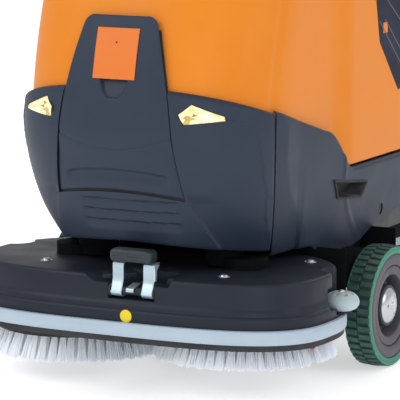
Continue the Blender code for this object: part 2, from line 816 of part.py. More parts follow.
def make_brush_motors(pivot):
    """Gearmotors: a flat gearbox over each brush, with the motor standing nearer the middle."""
    low = DECK_TOP + GAP
    for name, side in (("left", 1), ("right", -1)):
        x = side * BRUSH_HALF_SPACING
        motor_x = side * (BRUSH_HALF_SPACING - MOTOR_OFFSET)
        box_top = low + GEARBOX_HEIGHT
        gearbox = rod((x, 0, low), (x, 0, box_top), GEARBOX_RADIUS, segments=32)
        motor = rod((motor_x, 0, low + 0.004), (motor_x, 0, low + MOTOR_HEIGHT), MOTOR_RADIUS, segments=28)
        joined(f"brush_motor_{name}", "black_steel", gearbox, [motor], pivot, pivot.location)


def plate_top(side):
    hang = HANG_RIGHT if side < 0 else 0
    return BRUSH_TIP_Z + BRISTLE_LENGTH + PLATE_THICK - hang


def make_brush(name, side, hub_pivot, spin_pivot):
    x = side * BRUSH_HALF_SPACING
    top = plate_top(side)
    root_radius = BRUSH_RADIUS - BRISTLE_FLARE
    hub_top = DECK_TOP - HUB_TOP_CLEAR - (HANG_RIGHT if side < 0 else 0)
    hub = disc_profile(HUB_RADIUS, 0, hub_top - top - GAP, 0.002)
    turned(f"brush_hub_{name}", "black_steel", hub, (x, 0, top + GAP), parent=hub_pivot, steps=24)
    plate = disc_profile(root_radius, 0, PLATE_THICK)
    turned(
        f"brush_plate_{name}", "black_rubber", plate, (x, 0, top - PLATE_THICK), parent=spin_pivot, steps=36
    )
    profile = [
        (BRISTLE_INNER, BRISTLE_LENGTH - GAP),
        (root_radius - 0.002, BRISTLE_LENGTH - GAP),
        (BRUSH_RADIUS, 0),
        (BRISTLE_INNER - BRISTLE_FLARE / 2, 0),
        (BRISTLE_INNER, BRISTLE_LENGTH - GAP),
    ]
    low = top - PLATE_THICK - BRISTLE_LENGTH
    turned(f"bristles_{name}", "bristle", profile, (x, 0, low), parent=spin_pivot, steps=36)


def make_rollers(pivots):
    for name, side in (("left", 1), ("right", -1)):
        place = (side * ROLLER_POINT[0], ROLLER_POINT[1], ROLLER_LOW)
        half = ROLLER_HEIGHT / 2
        profile = [(0, ROLLER_HEIGHT)]
        for angle in (70, 40, 0, -40, -70):
            turn = math.radians(angle)
            radius = ROLLER_RADIUS * (0.55 + 0.45 * math.cos(turn))
            profile.append((radius, half + half * math.sin(turn) / math.sin(math.radians(70))))
        profile.append((0, 0))
        turned(f"deflector_roller_{name}", "roller_grey", profile, place, parent=pivots[name], steps=20)


def arm_angle():
    return math.asin(DECK_TRAVEL / 2 / ARM_LENGTH)


def chassis_pivot():
    """The deck arms' pivot on the chassis, half the travel below their deck pivot."""
    y = ARM_PIVOT_Y + ARM_LENGTH * math.cos(arm_angle())
    return (0, y, DECK_TOP + ARM_PIVOT_LIFT - DECK_TRAVEL / 2)


def make_arms(pivot):
    start = Vector((0, ARM_PIVOT_Y, DECK_TOP + ARM_PIVOT_LIFT))
    end = Vector(chassis_pivot())
    for name, side in (("left", 1), ("right", -1)):
        across = Vector((side * ARM_X, 0, 0))
        half = Vector((ARM_WIDTH / 2, 0, 0))
        line = (end - start).normalized()
        up = Vector((0, -line.z, line.y)) * 0.008
        outline = [start - up, end - up, end + up, start + up]
        bar = prism([(p.y, p.z) for p in outline], "X", across.x - half.x, across.x + half.x)
        eyes = [
            rod(point + across - half, point + across + half, 0.011, segments=20) for point in (start, end)
        ]
        joined(f"deck_arm_{name}", "steel", bar, eyes, pivot, pivot.location)


def make_pedal(pivot, deck_pivot):
    """Two flat steel straps on a hinge pin, with a cross bar and a rubber foot pad on top."""
    y = DECK_FRONT + 0.012
    strap_top = PEDAL_TOP_Z - 0.004
    inner = PEDAL_HALF - STRAP_WIDTH
    shapes = []
    for side in (1, -1):
        ends = sorted((PEDAL_X + side * inner, PEDAL_X + side * PEDAL_HALF))
        shapes.append(
            box((ends[0], y - STRAP_THICK / 2, PEDAL_PIN_Z), (ends[1], y + STRAP_THICK / 2, strap_top))
        )
        reach = (ends[0] - 0.0005, ends[1] - 0.0005) if side > 0 else (ends[0] + 0.0005, ends[1] + 0.0005)
        sleeve = rod(
            (reach[0], y, PEDAL_PIN_Z), (reach[1], y, PEDAL_PIN_Z), PEDAL_PIN_RADIUS + 0.005, segments=24
        )
        shapes.append(sleeve)
    bar = box(
        (PEDAL_X - inner - 0.008, y - STRAP_THICK / 2 - 0.0015, strap_top - 0.012),
        (PEDAL_X + inner + 0.008, y + STRAP_THICK / 2 + 0.0015, strap_top - 0.001),
    )
    part = joined("pedal_straps", "steel", bar, shapes, pivot, pivot.location)
    reach = PEDAL_HALF + 0.006 - GAP
    ends = [(PEDAL_X - reach, y, PEDAL_PIN_Z), (PEDAL_X + reach, y, PEDAL_PIN_Z)]
    cut(part, cutter("pedal_pin_hole", rod(*ends, PEDAL_PIN_RADIUS + GAP, segments=24)))
    pad = box(
        (PEDAL_X - PEDAL_HALF, y - STRAP_THICK / 2 - 0.014, strap_top + GAP),
        (PEDAL_X + PEDAL_HALF, y + PAD_DEPTH, strap_top + PAD_HEIGHT),
    )
    pad_part = add("pedal_pad", pad, "black_rubber", pivot, pivot.location)
    bevel(pad_part, 0.003, 2)
    add("pedal_pin", rod(*ends, PEDAL_PIN_RADIUS, segments=24), "black_rubber", deck_pivot, deck_pivot.location)


# ---------------------------------------------------------------- wheels and chassis


def make_drive_wheels(pivots):
    for name, side in (("left", 1), ("right", -1)):
        tip = (0, side * math.radians(90), 0)
        place = (side * (WHEEL_FACE_X - WHEEL_WIDTH / 2), WHEEL_Y, WHEEL_RADIUS)
        half = WHEEL_WIDTH / 2
        tyre = ring_profile(RIM_RADIUS, WHEEL_RADIUS, -half, half, 0.006)
        turned(f"tyre_{name}", "tyre_green", tyre, place, tip, pivots[name], 40)
        hub = [
            (0, half - 0.004),
            (CAP_DOME * 0.7, half - 0.006),
            (CAP_DOME, half - 0.016),
            (CAP_DOME + 0.004, half - 0.034),
            (HUB_BOWL - 0.006, half - 0.034),
            (HUB_BOWL, half - 0.008),
            (RIM_RADIUS - GAP, half - 0.001),
            (RIM_RADIUS - GAP, -half + 0.001),
            (0.05, -half + 0.001),
            (0.05, -half + 0.018),
            (0, -half + 0.018),
        ]
        turned(f"hub_{name}", "hub_plastic", hub, place, tip, pivots[name], 40)


def caster_top():
    return FRAME_LOW - GAP


def make_casters(swivels, wheels):
    for name, side in (("left", 1), ("right", -1)):
        x = side * CASTER_X
        axle_y = CASTER_Y + CASTER_TRAIL
        outer = CASTER_WIDTH / 2 + 0.007
        top = caster_top()
        stem = rod((x, CASTER_Y, top - 0.02), (x, CASTER_Y, top), 0.03, segments=28)
        bridge = box((x - outer, CASTER_Y - 0.02, 0.112), (x + outer, axle_y + 0.018, 0.122))
        riser = rod((x, CASTER_Y, 0.114), (x, CASTER_Y, top - 0.015), 0.018, segments=24)
        cheeks = []
        for cheek in (1, -1):
            ends = sorted((x + cheek * (outer - 0.004), x + cheek * outer))
            cheeks.append(
                box((ends[0], axle_y - 0.018, CASTER_RADIUS - 0.015), (ends[1], axle_y + 0.018, 0.118))
            )
        axle = rod((x - outer, axle_y, CASTER_RADIUS), (x + outer, axle_y, CASTER_RADIUS), 0.005, segments=16)
        shapes = [bridge, riser, *cheeks, axle]
        swivel = swivels[name]
        joined(f"caster_fork_{name}", "black_steel", stem, shapes, swivel, swivel.location)
        profile = ring_profile(0.005 + GAP, CASTER_RADIUS, -CASTER_WIDTH / 2, CASTER_WIDTH / 2, 0.004)
        place = (x, axle_y, CASTER_RADIUS)
        turned(
            f"caster_wheel_{name}", "hub_plastic", profile, place, (0, math.radians(90), 0), wheels[name], 24
        )


def make_chassis():
    half = FRAME_HALF
    front, rear = 0.262, BODY_REAR - 0.06
    rails = []
    for side in (1, -1):
        ends = sorted((side * half, side * (half - RAIL_WIDTH)))
        rails.append(box((ends[0], front, FRAME_LOW), (ends[1], rear, FRAME_HIGH)))
    cross = [
        box((-half, rear - RAIL_WIDTH - 0.06, FRAME_LOW), (half, rear, FRAME_HIGH)),
        box((-half, 0.39, FRAME_LOW), (half, 0.39 + RAIL_WIDTH, FRAME_HIGH)),
    ]
    axle_high = WHEEL_RADIUS + 0.012
    inner = WHEEL_FACE_X - WHEEL_WIDTH - 0.004
    tube = rod((-inner, WHEEL_Y, WHEEL_RADIUS), (inner, WHEEL_Y, WHEEL_RADIUS), 0.02, segments=24)
    posts = []
    for side in (1, -1):
        ends = sorted((side * (half - 0.035), side * (half - 0.02)))
        posts.append(
            box((ends[0], WHEEL_Y - 0.03, axle_high - 0.03), (ends[1], WHEEL_Y + 0.03, FRAME_LOW + 0.01))
        )
        arm_ends = sorted((side * (ARM_X + 0.0075), side * (ARM_X + 0.02)))
        _, y, z = chassis_pivot()
        posts.append(box((arm_ends[0], y - 0.015, FRAME_LOW), (arm_ends[1], y + 0.015, z + 0.014)))
    beam = box((-half, 0.275, FRAME_LOW), (half, 0.345, FRAME_LOW + BEAM_THICK))
    squeegee_y, squeegee_z = SQUEEGEE_PIVOT
    for side in (1, -1):
        ends = sorted((side * 0.041, side * 0.053))
        low = (ends[0], squeegee_y - 0.015, squeegee_z - 0.014)
        posts.append(box(low, (ends[1], squeegee_y + 0.015, FRAME_LOW + 0.01)))
    joined("chassis_frame", "black_steel", rails[0], [rails[1], *cross, beam, tube, *posts])


def make_drive_motor():
    shape = rod((-0.085, WHEEL_Y + 0.075, 0.150), (0.085, WHEEL_Y + 0.075, 0.150), 0.045, segments=32)
    add("drive_motor", shape, "black_steel")


def make_wheel_guards():
    """Black arched liners between the side covers and the drive wheels."""
    for name, side in (("left", 1), ("right", -1)):
        rows = []
        arch_top = WHEEL_RADIUS + (WHEEL_RADIUS + 0.012) * 0.80
        for x in (side_half(WHEEL_Y, arch_top) + 0.012, WHEEL_FACE_X - WHEEL_WIDTH - 0.006):
            row = []
            for step in range(10):
                turn = math.radians(20 + 115 * step / 9)
                radius = WHEEL_RADIUS + 0.012
                row.append((side * x, WHEEL_Y + radius * math.cos(turn), WHEEL_RADIUS + radius * math.sin(turn) * 0.80))
            rows.append(row)
        shape = grid(rows if side > 0 else rows[::-1])
        bmesh.ops.reverse_faces(shape, faces=shape.faces)
        guard = add(f"wheel_guard_{name}", shape, "black_rubber")
        solidify(guard, 0.003)


def make_battery():
    low = (-BATTERY_HALF, BATTERY_Y[0], FRAME_HIGH + GAP)
    high = (BATTERY_HALF, BATTERY_Y[1], FRAME_HIGH + BATTERY_HEIGHT)
    pack = add("battery_pack", box(low, high), "battery")
    bevel(pack, 0.006, 2)


def make_inner_units():
    pump = rod((0.09, 0.20, 0.36), (0.09, 0.30, 0.36), 0.03, segments=24)
    add("water_pump", pump, "black_steel")
    vacuum_y = BODY_REAR - 0.10
    vacuum = rod((0, vacuum_y, 0.81), (0, vacuum_y, 0.90), 0.07, segments=32)
    add("vacuum_motor", vacuum, "black_steel")
    base = Vector((0, 0.315, 0.30))
    tip = Vector((0, 0.235, 0.27))
    actuator = rod(base, tip, 0.016, segments=20)
    joined("lift_actuator", "steel", actuator, [rod((0, 0.315, FRAME_LOW + BEAM_THICK + GAP), base, 0.014, segments=20)])


# ---------------------------------------------------------------- squeegee


def bow_y(x):
    """How far forward the squeegee's ends curve, as a parabola."""
    return -SQUEEGEE_BOW * (x / SQUEEGEE_HALF) ** 2


def bowed(depth_low, depth_high, low, high, half):
    outline = []
    steps = 10
    for step in range(-steps, steps + 1):
        x = half * step / steps
        outline.append((x, bow_y(x) + depth_low))
    for step in range(steps, -steps - 1, -1):
        x = half * step / steps
        outline.append((x, bow_y(x) + depth_high))
    return prism(outline, "Z", low, high)


def local_add(name, shape, look, parent):
    """A part whose coordinates are measured in its parent's own frame."""
    part = add(name, shape, look)
    part.parent = parent
    return part


def plate_drop():
    """Height of the squeegee plate's top, measured from the arm's pivot with the blade on the floor."""
    return BLADE_DROP + SQUEEGEE_THICK + GAP * 2 - SQUEEGEE_PIVOT[1]


def make_squeegee(arm_pivot, swing_pivot):
    """Lengths here are measured from the arm's pivot, with the arm level."""
    reach = SQUEEGEE_REACH
    boss = rod((-0.040, 0, 0), (0.040, 0, 0), 0.013, segments=24)
    bar = box((-0.022, -0.004, -0.009), (0.022, reach + 0.02, 0.009))
    hole = rod((0, reach, -0.03), (0, reach, 0.03), 0.0085, segments=20)
    arm = local_add("squeegee_arm", boss, "black_steel", arm_pivot)
    cut(arm, cutter_at("arm_bar", bar, arm_pivot), "UNION")
    cut(arm, cutter_at("arm_hole", hole, arm_pivot))
    top = plate_drop()
    plate = bowed(-SQUEEGEE_DEPTH / 2, SQUEEGEE_DEPTH / 2, top - SQUEEGEE_THICK, top, SQUEEGEE_HALF)
    body = local_add("squeegee_body", plate, "steel", swing_pivot)
    stud = rod((0, 0, top - 0.004), (0, 0, 0.014), 0.0078, segments=20)
    cut(body, cutter_at("swing_stud", stud, swing_pivot), "UNION")
    neck = rod((NECK_X, 0, top - 0.004), (NECK_X, 0, top + NECK_TALL), NECK_RADIUS, segments=20)
    cut(body, cutter_at("neck", neck, swing_pivot), "UNION")
    channel = rod((NECK_X, 0, top - 0.05), (NECK_X, 0, top + 0.08), NECK_RADIUS - 0.005, segments=20)
    cut(body, cutter_at("neck_channel", channel, swing_pivot))
    low = top - SQUEEGEE_THICK - GAP
    rear = SQUEEGEE_DEPTH / 2 - 0.006
    rear_lip = bowed(rear - BLADE_THICK, rear, low - BLADE_DROP, low, SQUEEGEE_HALF - 0.004)
    blade = local_add("squeegee_blade", rear_lip, "black_rubber", swing_pivot)
    front_lip = bowed(-rear, -rear + BLADE_THICK, low - BLADE_DROP + 0.003, low, SQUEEGEE_HALF - 0.02)
    bridge = box((-0.03, -rear + 0.001, low - 0.006), (0.03, rear - 0.001, low))
    cut(blade, cutter_at("front_lip", front_lip, swing_pivot), "UNION")
    cut(blade, cutter_at("blade_bridge", bridge, swing_pivot), "UNION")


def cutter_at(name, shape, parent):
    tool = cutter(name, shape)
    tool.parent = parent
    return tool


def catmull(points, count):
    """A smooth curve through the points, count pieces to each stretch."""
    ends = [points[0] * 2 - points[1], *points, points[-1] * 2 - points[-2]]
    found = []
    for index in range(1, len(ends) - 2):
        a, b, c, d = ends[index - 1 : index + 3]
        for step in range(count):
            t = step / count
            found.append(0.5 * (2 * b + (c - a) * t + (2 * a - 5 * b + 4 * c - d) * t * t + (3 * b - a - 3 * c + d) * t ** 3))
    found.append(points[-1])
    return found


def tube(name, look, points, radius):
    data = bpy.data.curves.new(name, "CURVE")
    data.dimensions = "3D"
    data.bevel_depth = radius
    data.bevel_resolution = 2
    data.use_fill_caps = True
    line = data.splines.new("POLY")
    line.points.add(len(points) - 1)
    for point, place in zip(line.points, points):
        point.co = (*place, 1)
    part = bpy.data.objects.new(name, data)
    PARTS.objects.link(part)
    data.materials.append(material(look))
    part.parent = MACHINE
    return part


def squeegee_place(local):
    """World place of a point measured from the squeegee arm's pivot."""
    x, y, z = local
    c, s = math.cos(SQUEEGEE_RAISE), math.sin(SQUEEGEE_RAISE)
    return Vector((x, SQUEEGEE_PIVOT[0] + y * c - z * s, SQUEEGEE_PIVOT[1] + y * s + z * c))


def make_hose():
    neck_top = plate_drop() + NECK_TALL
    rises = (0.002, 0.030, 0.080)
    route = [squeegee_place((NECK_X, SQUEEGEE_REACH, neck_top + rise)) for rise in rises]
    bends = ((0.068, 0.087, 0.32), (0.058, 0.085, 0.44), (0.052, 0.080, 0.56), (0.05, 0.062, 0.64))
    bends += ((0.05, 0.035, 0.678), (0.05, 0.012, 0.69), (0.05, -0.0085, 0.69))
    route += [Vector((x, BODY_REAR + y, z)) for x, y, z in bends]
    tube("suction_hose", "black_rubber", catmull(route, 4), HOSE_RADIUS)


# ---------------------------------------------------------------- console and handle


def slope_z(y):
    share = (y - CONSOLE_FRONT - 0.03) / (CONSOLE_REAR - CONSOLE_FRONT - 0.03)
    return CONSOLE_TOP_Z + (CONSOLE_BACK_Z - CONSOLE_TOP_Z) * share


def slope_angle():
    return math.atan2(CONSOLE_TOP_Z - CONSOLE_BACK_Z, CONSOLE_REAR - CONSOLE_FRONT - 0.03)


def on_slope(x, y, lift=0.0):
    """A point lift metres off the console's sloping face."""
    a = slope_angle()
    return Vector((x, y + lift * math.sin(a), slope_z(y) + lift * math.cos(a)))


def make_console():
    outline = [
        (CONSOLE_FRONT, CONSOLE_LOW),
        (BODY_REAR - 0.02, CONSOLE_LOW),
        (CONSOLE_REAR, CONSOLE_LOW + 0.06),
        (CONSOLE_REAR, CONSOLE_BACK_Z),
        (CONSOLE_FRONT + 0.03, CONSOLE_TOP_Z),
        (CONSOLE_FRONT, CONSOLE_TOP_Z - 0.02),
    ]
    part = add("console_housing", prism(outline, "X", -CONSOLE_HALF, CONSOLE_HALF), "anthracite")
    bevel(part, 0.008, 2)
    vacuum_y = BODY_REAR - 0.10
    space = rod((0, vacuum_y, CONSOLE_LOW - 0.05), (0, vacuum_y, 0.905), 0.078, segments=32)
    cut(part, cutter("vacuum_space", space))


def slope_disc(name, look, x, y, radius, low, high, pivot, steps=28):
    profile = disc_profile(radius, low, high, 0.0015)
    turned(name, look, profile, on_slope(x, y), (-slope_angle(), 0, 0), pivot, steps)


def make_controls(pivots):
    screen = box((-0.065, -0.04, GAP), (0.065, 0.04, 0.004))
    display = add("display_screen", screen, "glass")
    display.location = on_slope(0, CONTROL_Y)
    display.rotation_euler = (-slope_angle(), 0, 0)
    slope_disc("stop_button", "red", 0.15, CONTROL_Y, 0.020, 0.008, 0.028, pivots["stop"])
    slope_disc("start_button", "green", -0.11, CONTROL_Y + 0.04, 0.012, 0.004, 0.010, pivots["start"])
    key = box((-0.011, -0.003, 0.003), (0.011, 0.003, 0.026))
    part = local_add("key_switch", key, "steel", pivots["key"])
    barrel = rod((0, 0, GAP * 2), (0, 0, 0.006), 0.012, segments=24)
    cut(part, cutter_at("key_barrel", barrel, pivots["key"]), "UNION")


def make_handle(paddle_pivot):
    inner = CONSOLE_HALF + HANDLE_RADIUS + 0.0008
    bend = 0.05
    route = []
    for side in (-1, 1):
        leg = [Vector((side * inner, y, 0.90 + 0.075 * blend((y - HANDLE_LEG_YS[0]) / 0.20))) for y in HANDLE_LEG_YS]
        for angle in (0, 30, 60, 90):
            turn = math.radians(angle)
            y = HANDLE_Y - bend + bend * math.sin(turn)
            leg.append(Vector((side * (inner - bend + bend * math.cos(turn)), y, HANDLE_Z)))
        route += leg if side < 0 else leg[::-1]
    tube("handle_bar", "black_rubber", route, HANDLE_RADIUS)
    pad = box((-0.13, -0.006, -0.05), (0.13, 0.002, -0.006))
    paddle = local_add("drive_paddle", pad, "hub_plastic", paddle_pivot)
    sleeve = rod((-0.13, 0, 0), (0.13, 0, 0), HANDLE_RADIUS + PADDLE_WALL, segments=28)
    cut(paddle, cutter_at("paddle_sleeve", sleeve, paddle_pivot), "UNION")
    bore = rod((-0.2, 0, 0), (0.2, 0, 0), HANDLE_RADIUS + 0.0008, segments=28)
    cut(paddle, cutter_at("paddle_bore", bore, paddle_pivot))


def sides(make):
    return {"left": make(1), "right": make(-1)}


def build():
    arms = empty("deck_arm_axis", chassis_pivot())
    deck = empty("deck_axis", (0, ARM_PIVOT_Y, DECK_TOP + ARM_PIVOT_LIFT))
    float_axis = empty("brush_float_axis", (-BRUSH_HALF_SPACING, 0, plate_top(-1)))
    spins = sides(lambda side: empty(f"brush_axis_{side}", (side * BRUSH_HALF_SPACING, 0, plate_top(side))))
    rollers = sides(
        lambda side: empty(f"roller_axis_{side}", (side * ROLLER_POINT[0], ROLLER_POINT[1], ROLLER_LOW))
    )
    pedal = empty("pedal_axis", (PEDAL_X, DECK_FRONT + 0.012, PEDAL_PIN_Z))
    wheel_x = WHEEL_FACE_X - WHEEL_WIDTH / 2
    wheels = sides(lambda side: empty(f"wheel_axis_{side}", (side * wheel_x, WHEEL_Y, WHEEL_RADIUS)))
    swivels = sides(lambda side: empty(f"swivel_axis_{side}", (side * CASTER_X, CASTER_Y, caster_top())))
    trail = CASTER_Y + CASTER_TRAIL
    caster_axles = sides(lambda side: empty(f"caster_axis_{side}", (side * CASTER_X, trail, CASTER_RADIUS)))
    panel_y = front_surface_y(0, PANEL_BOTTOM) + PANEL_WALL / 2
    panel = empty("panel_axis", (0, panel_y, PANEL_BOTTOM))
    lid = empty("lid_axis", (0, LID_REAR, RECOVERY_TOP + GAP * 4))
    cap = empty("cap_axis", (0, fill_floor_y(), CAP_Z))
    squeegee = empty("squeegee_axis", (0, *SQUEEGEE_PIVOT), SQUEEGEE_RAISE)
    swing = empty("swing_axis", squeegee_place((0, SQUEEGEE_REACH, 0)), SQUEEGEE_RAISE)
    key = empty("key_axis", on_slope(-0.16, CONTROL_Y - 0.02), -slope_angle())
    stop = empty("stop_axis", on_slope(0.15, CONTROL_Y))
    start = empty("start_axis", on_slope(-0.11, CONTROL_Y + 0.04))
    paddle = empty("paddle_axis", (0, HANDLE_Y, HANDLE_Z))

    make_chassis()
    make_drive_motor()
    make_wheel_guards()
    make_battery()
    make_inner_units()
    make_front_cover()
    make_headlights()
    make_side_covers()
    make_front_panel(panel)
    make_solution_tank()
    make_filler_cap(cap)
    make_recovery_tank()
    make_tank_lid(lid)
    make_deck(deck)
    make_deck_trim(deck)
    make_deck_screws(deck)
    make_brush_motors(deck)
    make_brush("left", 1, deck, spins["left"])
    make_brush("right", -1, float_axis, spins["right"])
    make_rollers(rollers)
    make_arms(arms)
    make_pedal(pedal, deck)
    make_drive_wheels(wheels)
    make_casters(swivels, caster_axles)
    make_squeegee(squeegee, swing)
    make_hose()
    make_console()
    make_controls({"key": key, "stop": stop, "start": start})
    make_handle(paddle)


build()
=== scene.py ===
import math
import random

import bpy
from mathutils import Matrix, Vector


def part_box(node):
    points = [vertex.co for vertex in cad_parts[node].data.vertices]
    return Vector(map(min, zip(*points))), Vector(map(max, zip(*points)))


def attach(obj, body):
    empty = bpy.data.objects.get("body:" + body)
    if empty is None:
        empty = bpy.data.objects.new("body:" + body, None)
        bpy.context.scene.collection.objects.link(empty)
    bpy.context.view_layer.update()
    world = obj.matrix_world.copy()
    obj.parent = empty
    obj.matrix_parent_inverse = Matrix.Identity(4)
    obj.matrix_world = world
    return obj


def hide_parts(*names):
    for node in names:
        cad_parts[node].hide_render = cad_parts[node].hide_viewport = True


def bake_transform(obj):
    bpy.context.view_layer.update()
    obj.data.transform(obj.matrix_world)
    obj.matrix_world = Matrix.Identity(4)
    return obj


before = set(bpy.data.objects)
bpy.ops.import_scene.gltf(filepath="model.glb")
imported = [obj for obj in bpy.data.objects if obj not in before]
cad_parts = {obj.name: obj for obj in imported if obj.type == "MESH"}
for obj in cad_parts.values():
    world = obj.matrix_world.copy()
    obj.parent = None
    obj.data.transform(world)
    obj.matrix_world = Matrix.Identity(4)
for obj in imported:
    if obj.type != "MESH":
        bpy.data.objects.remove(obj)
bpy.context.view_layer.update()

# The lengths below are measured from the line of the two brush centres.
hubLow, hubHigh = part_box("brush_hub_left")
shiftY = (hubLow.y + hubHigh.y) / 2


# Small tools for modelling


def clearSelection():
    if bpy.context.mode != "OBJECT":
        bpy.ops.object.mode_set(mode="OBJECT")
    bpy.ops.object.select_all(action="DESELECT")


def activate(piece):
    clearSelection()
    piece.select_set(True)
    bpy.context.view_layer.objects.active = piece


def newPiece(name, adder, **settings):
    clearSelection()
    adder(**settings)
    piece = bpy.context.object
    piece.name = name
    piece.data.name = name
    bpy.ops.object.transform_apply(location=True, rotation=True, scale=True)
    return piece


def pickFaces(piece, test):
    activate(piece)
    bpy.ops.object.mode_set(mode="EDIT")
    bpy.ops.mesh.select_mode(type="FACE")
    bpy.ops.mesh.select_all(action="DESELECT")
    bpy.ops.object.mode_set(mode="OBJECT")
    for face in piece.data.polygons:
        face.select = bool(test(face.center, face.normal))
    bpy.ops.object.mode_set(mode="EDIT")


def applyAll(piece):
    activate(piece)
    for step in list(piece.modifiers):
        bpy.ops.object.modifier_apply(modifier=step.name)


def cleanMesh(piece, distance=0.00001, turnOut=True):
    activate(piece)
    bpy.ops.object.mode_set(mode="EDIT")
    bpy.ops.mesh.select_all(action="SELECT")
    bpy.ops.mesh.remove_doubles(threshold=distance)
    if turnOut:
        bpy.ops.mesh.normals_make_consistent(inside=False)
    bpy.ops.object.mode_set(mode="OBJECT")


def gridPiece(name, rows, closed=False):
    down, across = len(rows), len(rows[0])
    piece = newPiece(name, bpy.ops.mesh.primitive_grid_add, x_subdivisions=across - 1, y_subdivisions=down - 1)
    flat = [value for row in rows for point in row for value in point]
    piece.data.vertices.foreach_set("co", flat)
    piece.data.update()
    if closed:
        cleanMesh(piece)
    return piece


def closeEnds(piece):
    activate(piece)
    bpy.ops.object.mode_set(mode="EDIT")
    bpy.ops.mesh.select_all(action="SELECT")
    bpy.ops.mesh.fill_holes(sides=0)
    bpy.ops.mesh.select_all(action="SELECT")
    bpy.ops.mesh.normals_make_consistent(inside=False)
    bpy.ops.object.mode_set(mode="OBJECT")


def lathe(name, profile, steps, centre=(0, 0, 0), axis="Z", side=1):
    radius, height = profile[0]
    piece = newPiece(name, bpy.ops.mesh.primitive_circle_add, vertices=steps, radius=max(radius, 0.0001))
    bpy.ops.object.mode_set(mode="EDIT")
    bpy.ops.mesh.select_all(action="SELECT")
    bpy.ops.transform.translate(value=(0, 0, height))
    if radius == 0:
        bpy.ops.mesh.edge_face_add()
    for nextRadius, nextHeight in profile[1:]:
        wide = max(nextRadius, 0.0001)
        scale = wide / max(radius, 0.0001)
        bpy.ops.mesh.extrude_region_move(TRANSFORM_OT_translate={"value": (0, 0, nextHeight - height)})
        bpy.ops.transform.resize(value=(scale, scale, 1), center_override=(0, 0, nextHeight))
        radius, height = nextRadius, nextHeight
    if profile[-1][0] == 0:
        bpy.ops.mesh.edge_face_add()
    bpy.ops.object.mode_set(mode="OBJECT")
    cleanMesh(piece, 0.00002)
    turn = Matrix.Identity(4)
    if axis == "X":
        turn = Matrix.Rotation(side * math.pi / 2, 4, "Y")
    if axis == "Y":
        turn = Matrix.Rotation(side * math.pi / 2, 4, "X")
    piece.data.transform(Matrix.Translation(centre) @ turn)
    return piece


def boxPiece(name, low, high):
    size = [high[i] - low[i] for i in range(3)]
    middle = [(high[i] + low[i]) / 2 for i in range(3)]
    return newPiece(name, bpy.ops.mesh.primitive_cube_add, size=1, location=middle, scale=size)


def outlinePiece(name, outline, axis, low, high):
    spot = {"X": lambda a, b, c: (c, a, b), "Y": lambda a, b, c: (a, c, b), "Z": lambda a, b, c: (a, b, c)}[axis]
    piece = newPiece(name, bpy.ops.mesh.primitive_circle_add, vertices=len(outline), radius=1, fill_type="NGON")
    for vertex, (a, b) in zip(piece.data.vertices, outline):
        vertex.co = spot(a, b, low)
    activate(piece)
    bpy.ops.object.mode_set(mode="EDIT")
    bpy.ops.mesh.select_all(action="SELECT")
    bpy.ops.mesh.extrude_region_move(TRANSFORM_OT_translate={"value": spot(0, 0, high - low)})
    bpy.ops.mesh.select_all(action="SELECT")
    bpy.ops.mesh.normals_make_consistent(inside=False)
    bpy.ops.object.mode_set(mode="OBJECT")
    return piece


def cutWith(piece, tool, operation="DIFFERENCE"):
    step = piece.modifiers.new("cut", "BOOLEAN")
    step.object = tool
    step.operation = operation
    applyAll(piece)
    bpy.data.objects.remove(tool)


def rounded(piece, width, segments=2, angle=35):
    step = piece.modifiers.new("edges", "BEVEL")
    step.width = width
    step.segments = segments
    step.limit_method = "ANGLE"
    step.angle_limit = math.radians(angle)
    applyAll(piece)


def walled(piece, thickness, offset=-1):
    step = piece.modifiers.new("wall", "SOLIDIFY")
    step.thickness = thickness
    step.offset = offset
    step.use_even_offset = True
    applyAll(piece)


def joinPieces(name, pieces):
    clearSelection()
    for piece in pieces:
        piece.select_set(True)
    bpy.context.view_layer.objects.active = pieces[0]
    bpy.ops.object.join()
    pieces[0].name = name
    return pieces[0]


def copyOf(piece, matrix, name=None):
    twin = piece.copy()
    twin.data = piece.data.copy()
    bpy.context.scene.collection.objects.link(twin)
    twin.data.transform(matrix)
    if name:
        twin.name = name
    return twin


def setLook(piece, look):
    piece.data.materials.clear()
    piece.data.materials.append(look)
    return piece


def finishPiece(piece, look, body, replaced=(), angle=35):
    activate(piece)
    bpy.ops.object.shade_smooth_by_angle(angle=math.radians(angle))
    if look:
        setLook(piece, look)
    piece.data.transform(Matrix.Translation((0, shiftY, 0)))
    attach(piece, body)
    if replaced:
        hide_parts(*replaced)
    return piece


def smoothStep(value, start=0.0, end=1.0):
    share = min(max((value - start) / (end - start), 0), 1)
    return share * share * (3 - 2 * share)


def curveAt(points, value):
    for (a, fromA), (b, fromB) in zip(points, points[1:]):
        if value <= b:
            return fromA + (fromB - fromA) * min(max((value - a) / (b - a), 0), 1)
    return points[-1][1]


# Shader groups

def makeGroup(name, inputs, outputs):
    group = bpy.data.node_groups.new(name, "ShaderNodeTree")
    for label, kind, value in inputs:
        socket = group.interface.new_socket(name=label, in_out="INPUT", socket_type=kind)
        socket.default_value = value
    for label, kind in outputs:
        group.interface.new_socket(name=label, in_out="OUTPUT", socket_type=kind)
    return group, group.nodes.new("NodeGroupInput"), group.nodes.new("NodeGroupOutput")


def noiseNode(group, vector, scale, detail=4, roughness=0.55):
    node = group.nodes.new("ShaderNodeTexNoise")
    node.inputs["Detail"].default_value = detail
    node.inputs["Roughness"].default_value = roughness
    group.links.new(vector, node.inputs["Vector"])
    if isinstance(scale, (int, float)):
        node.inputs["Scale"].default_value = scale
    else:
        group.links.new(scale, node.inputs["Scale"])
    return node.outputs[0]


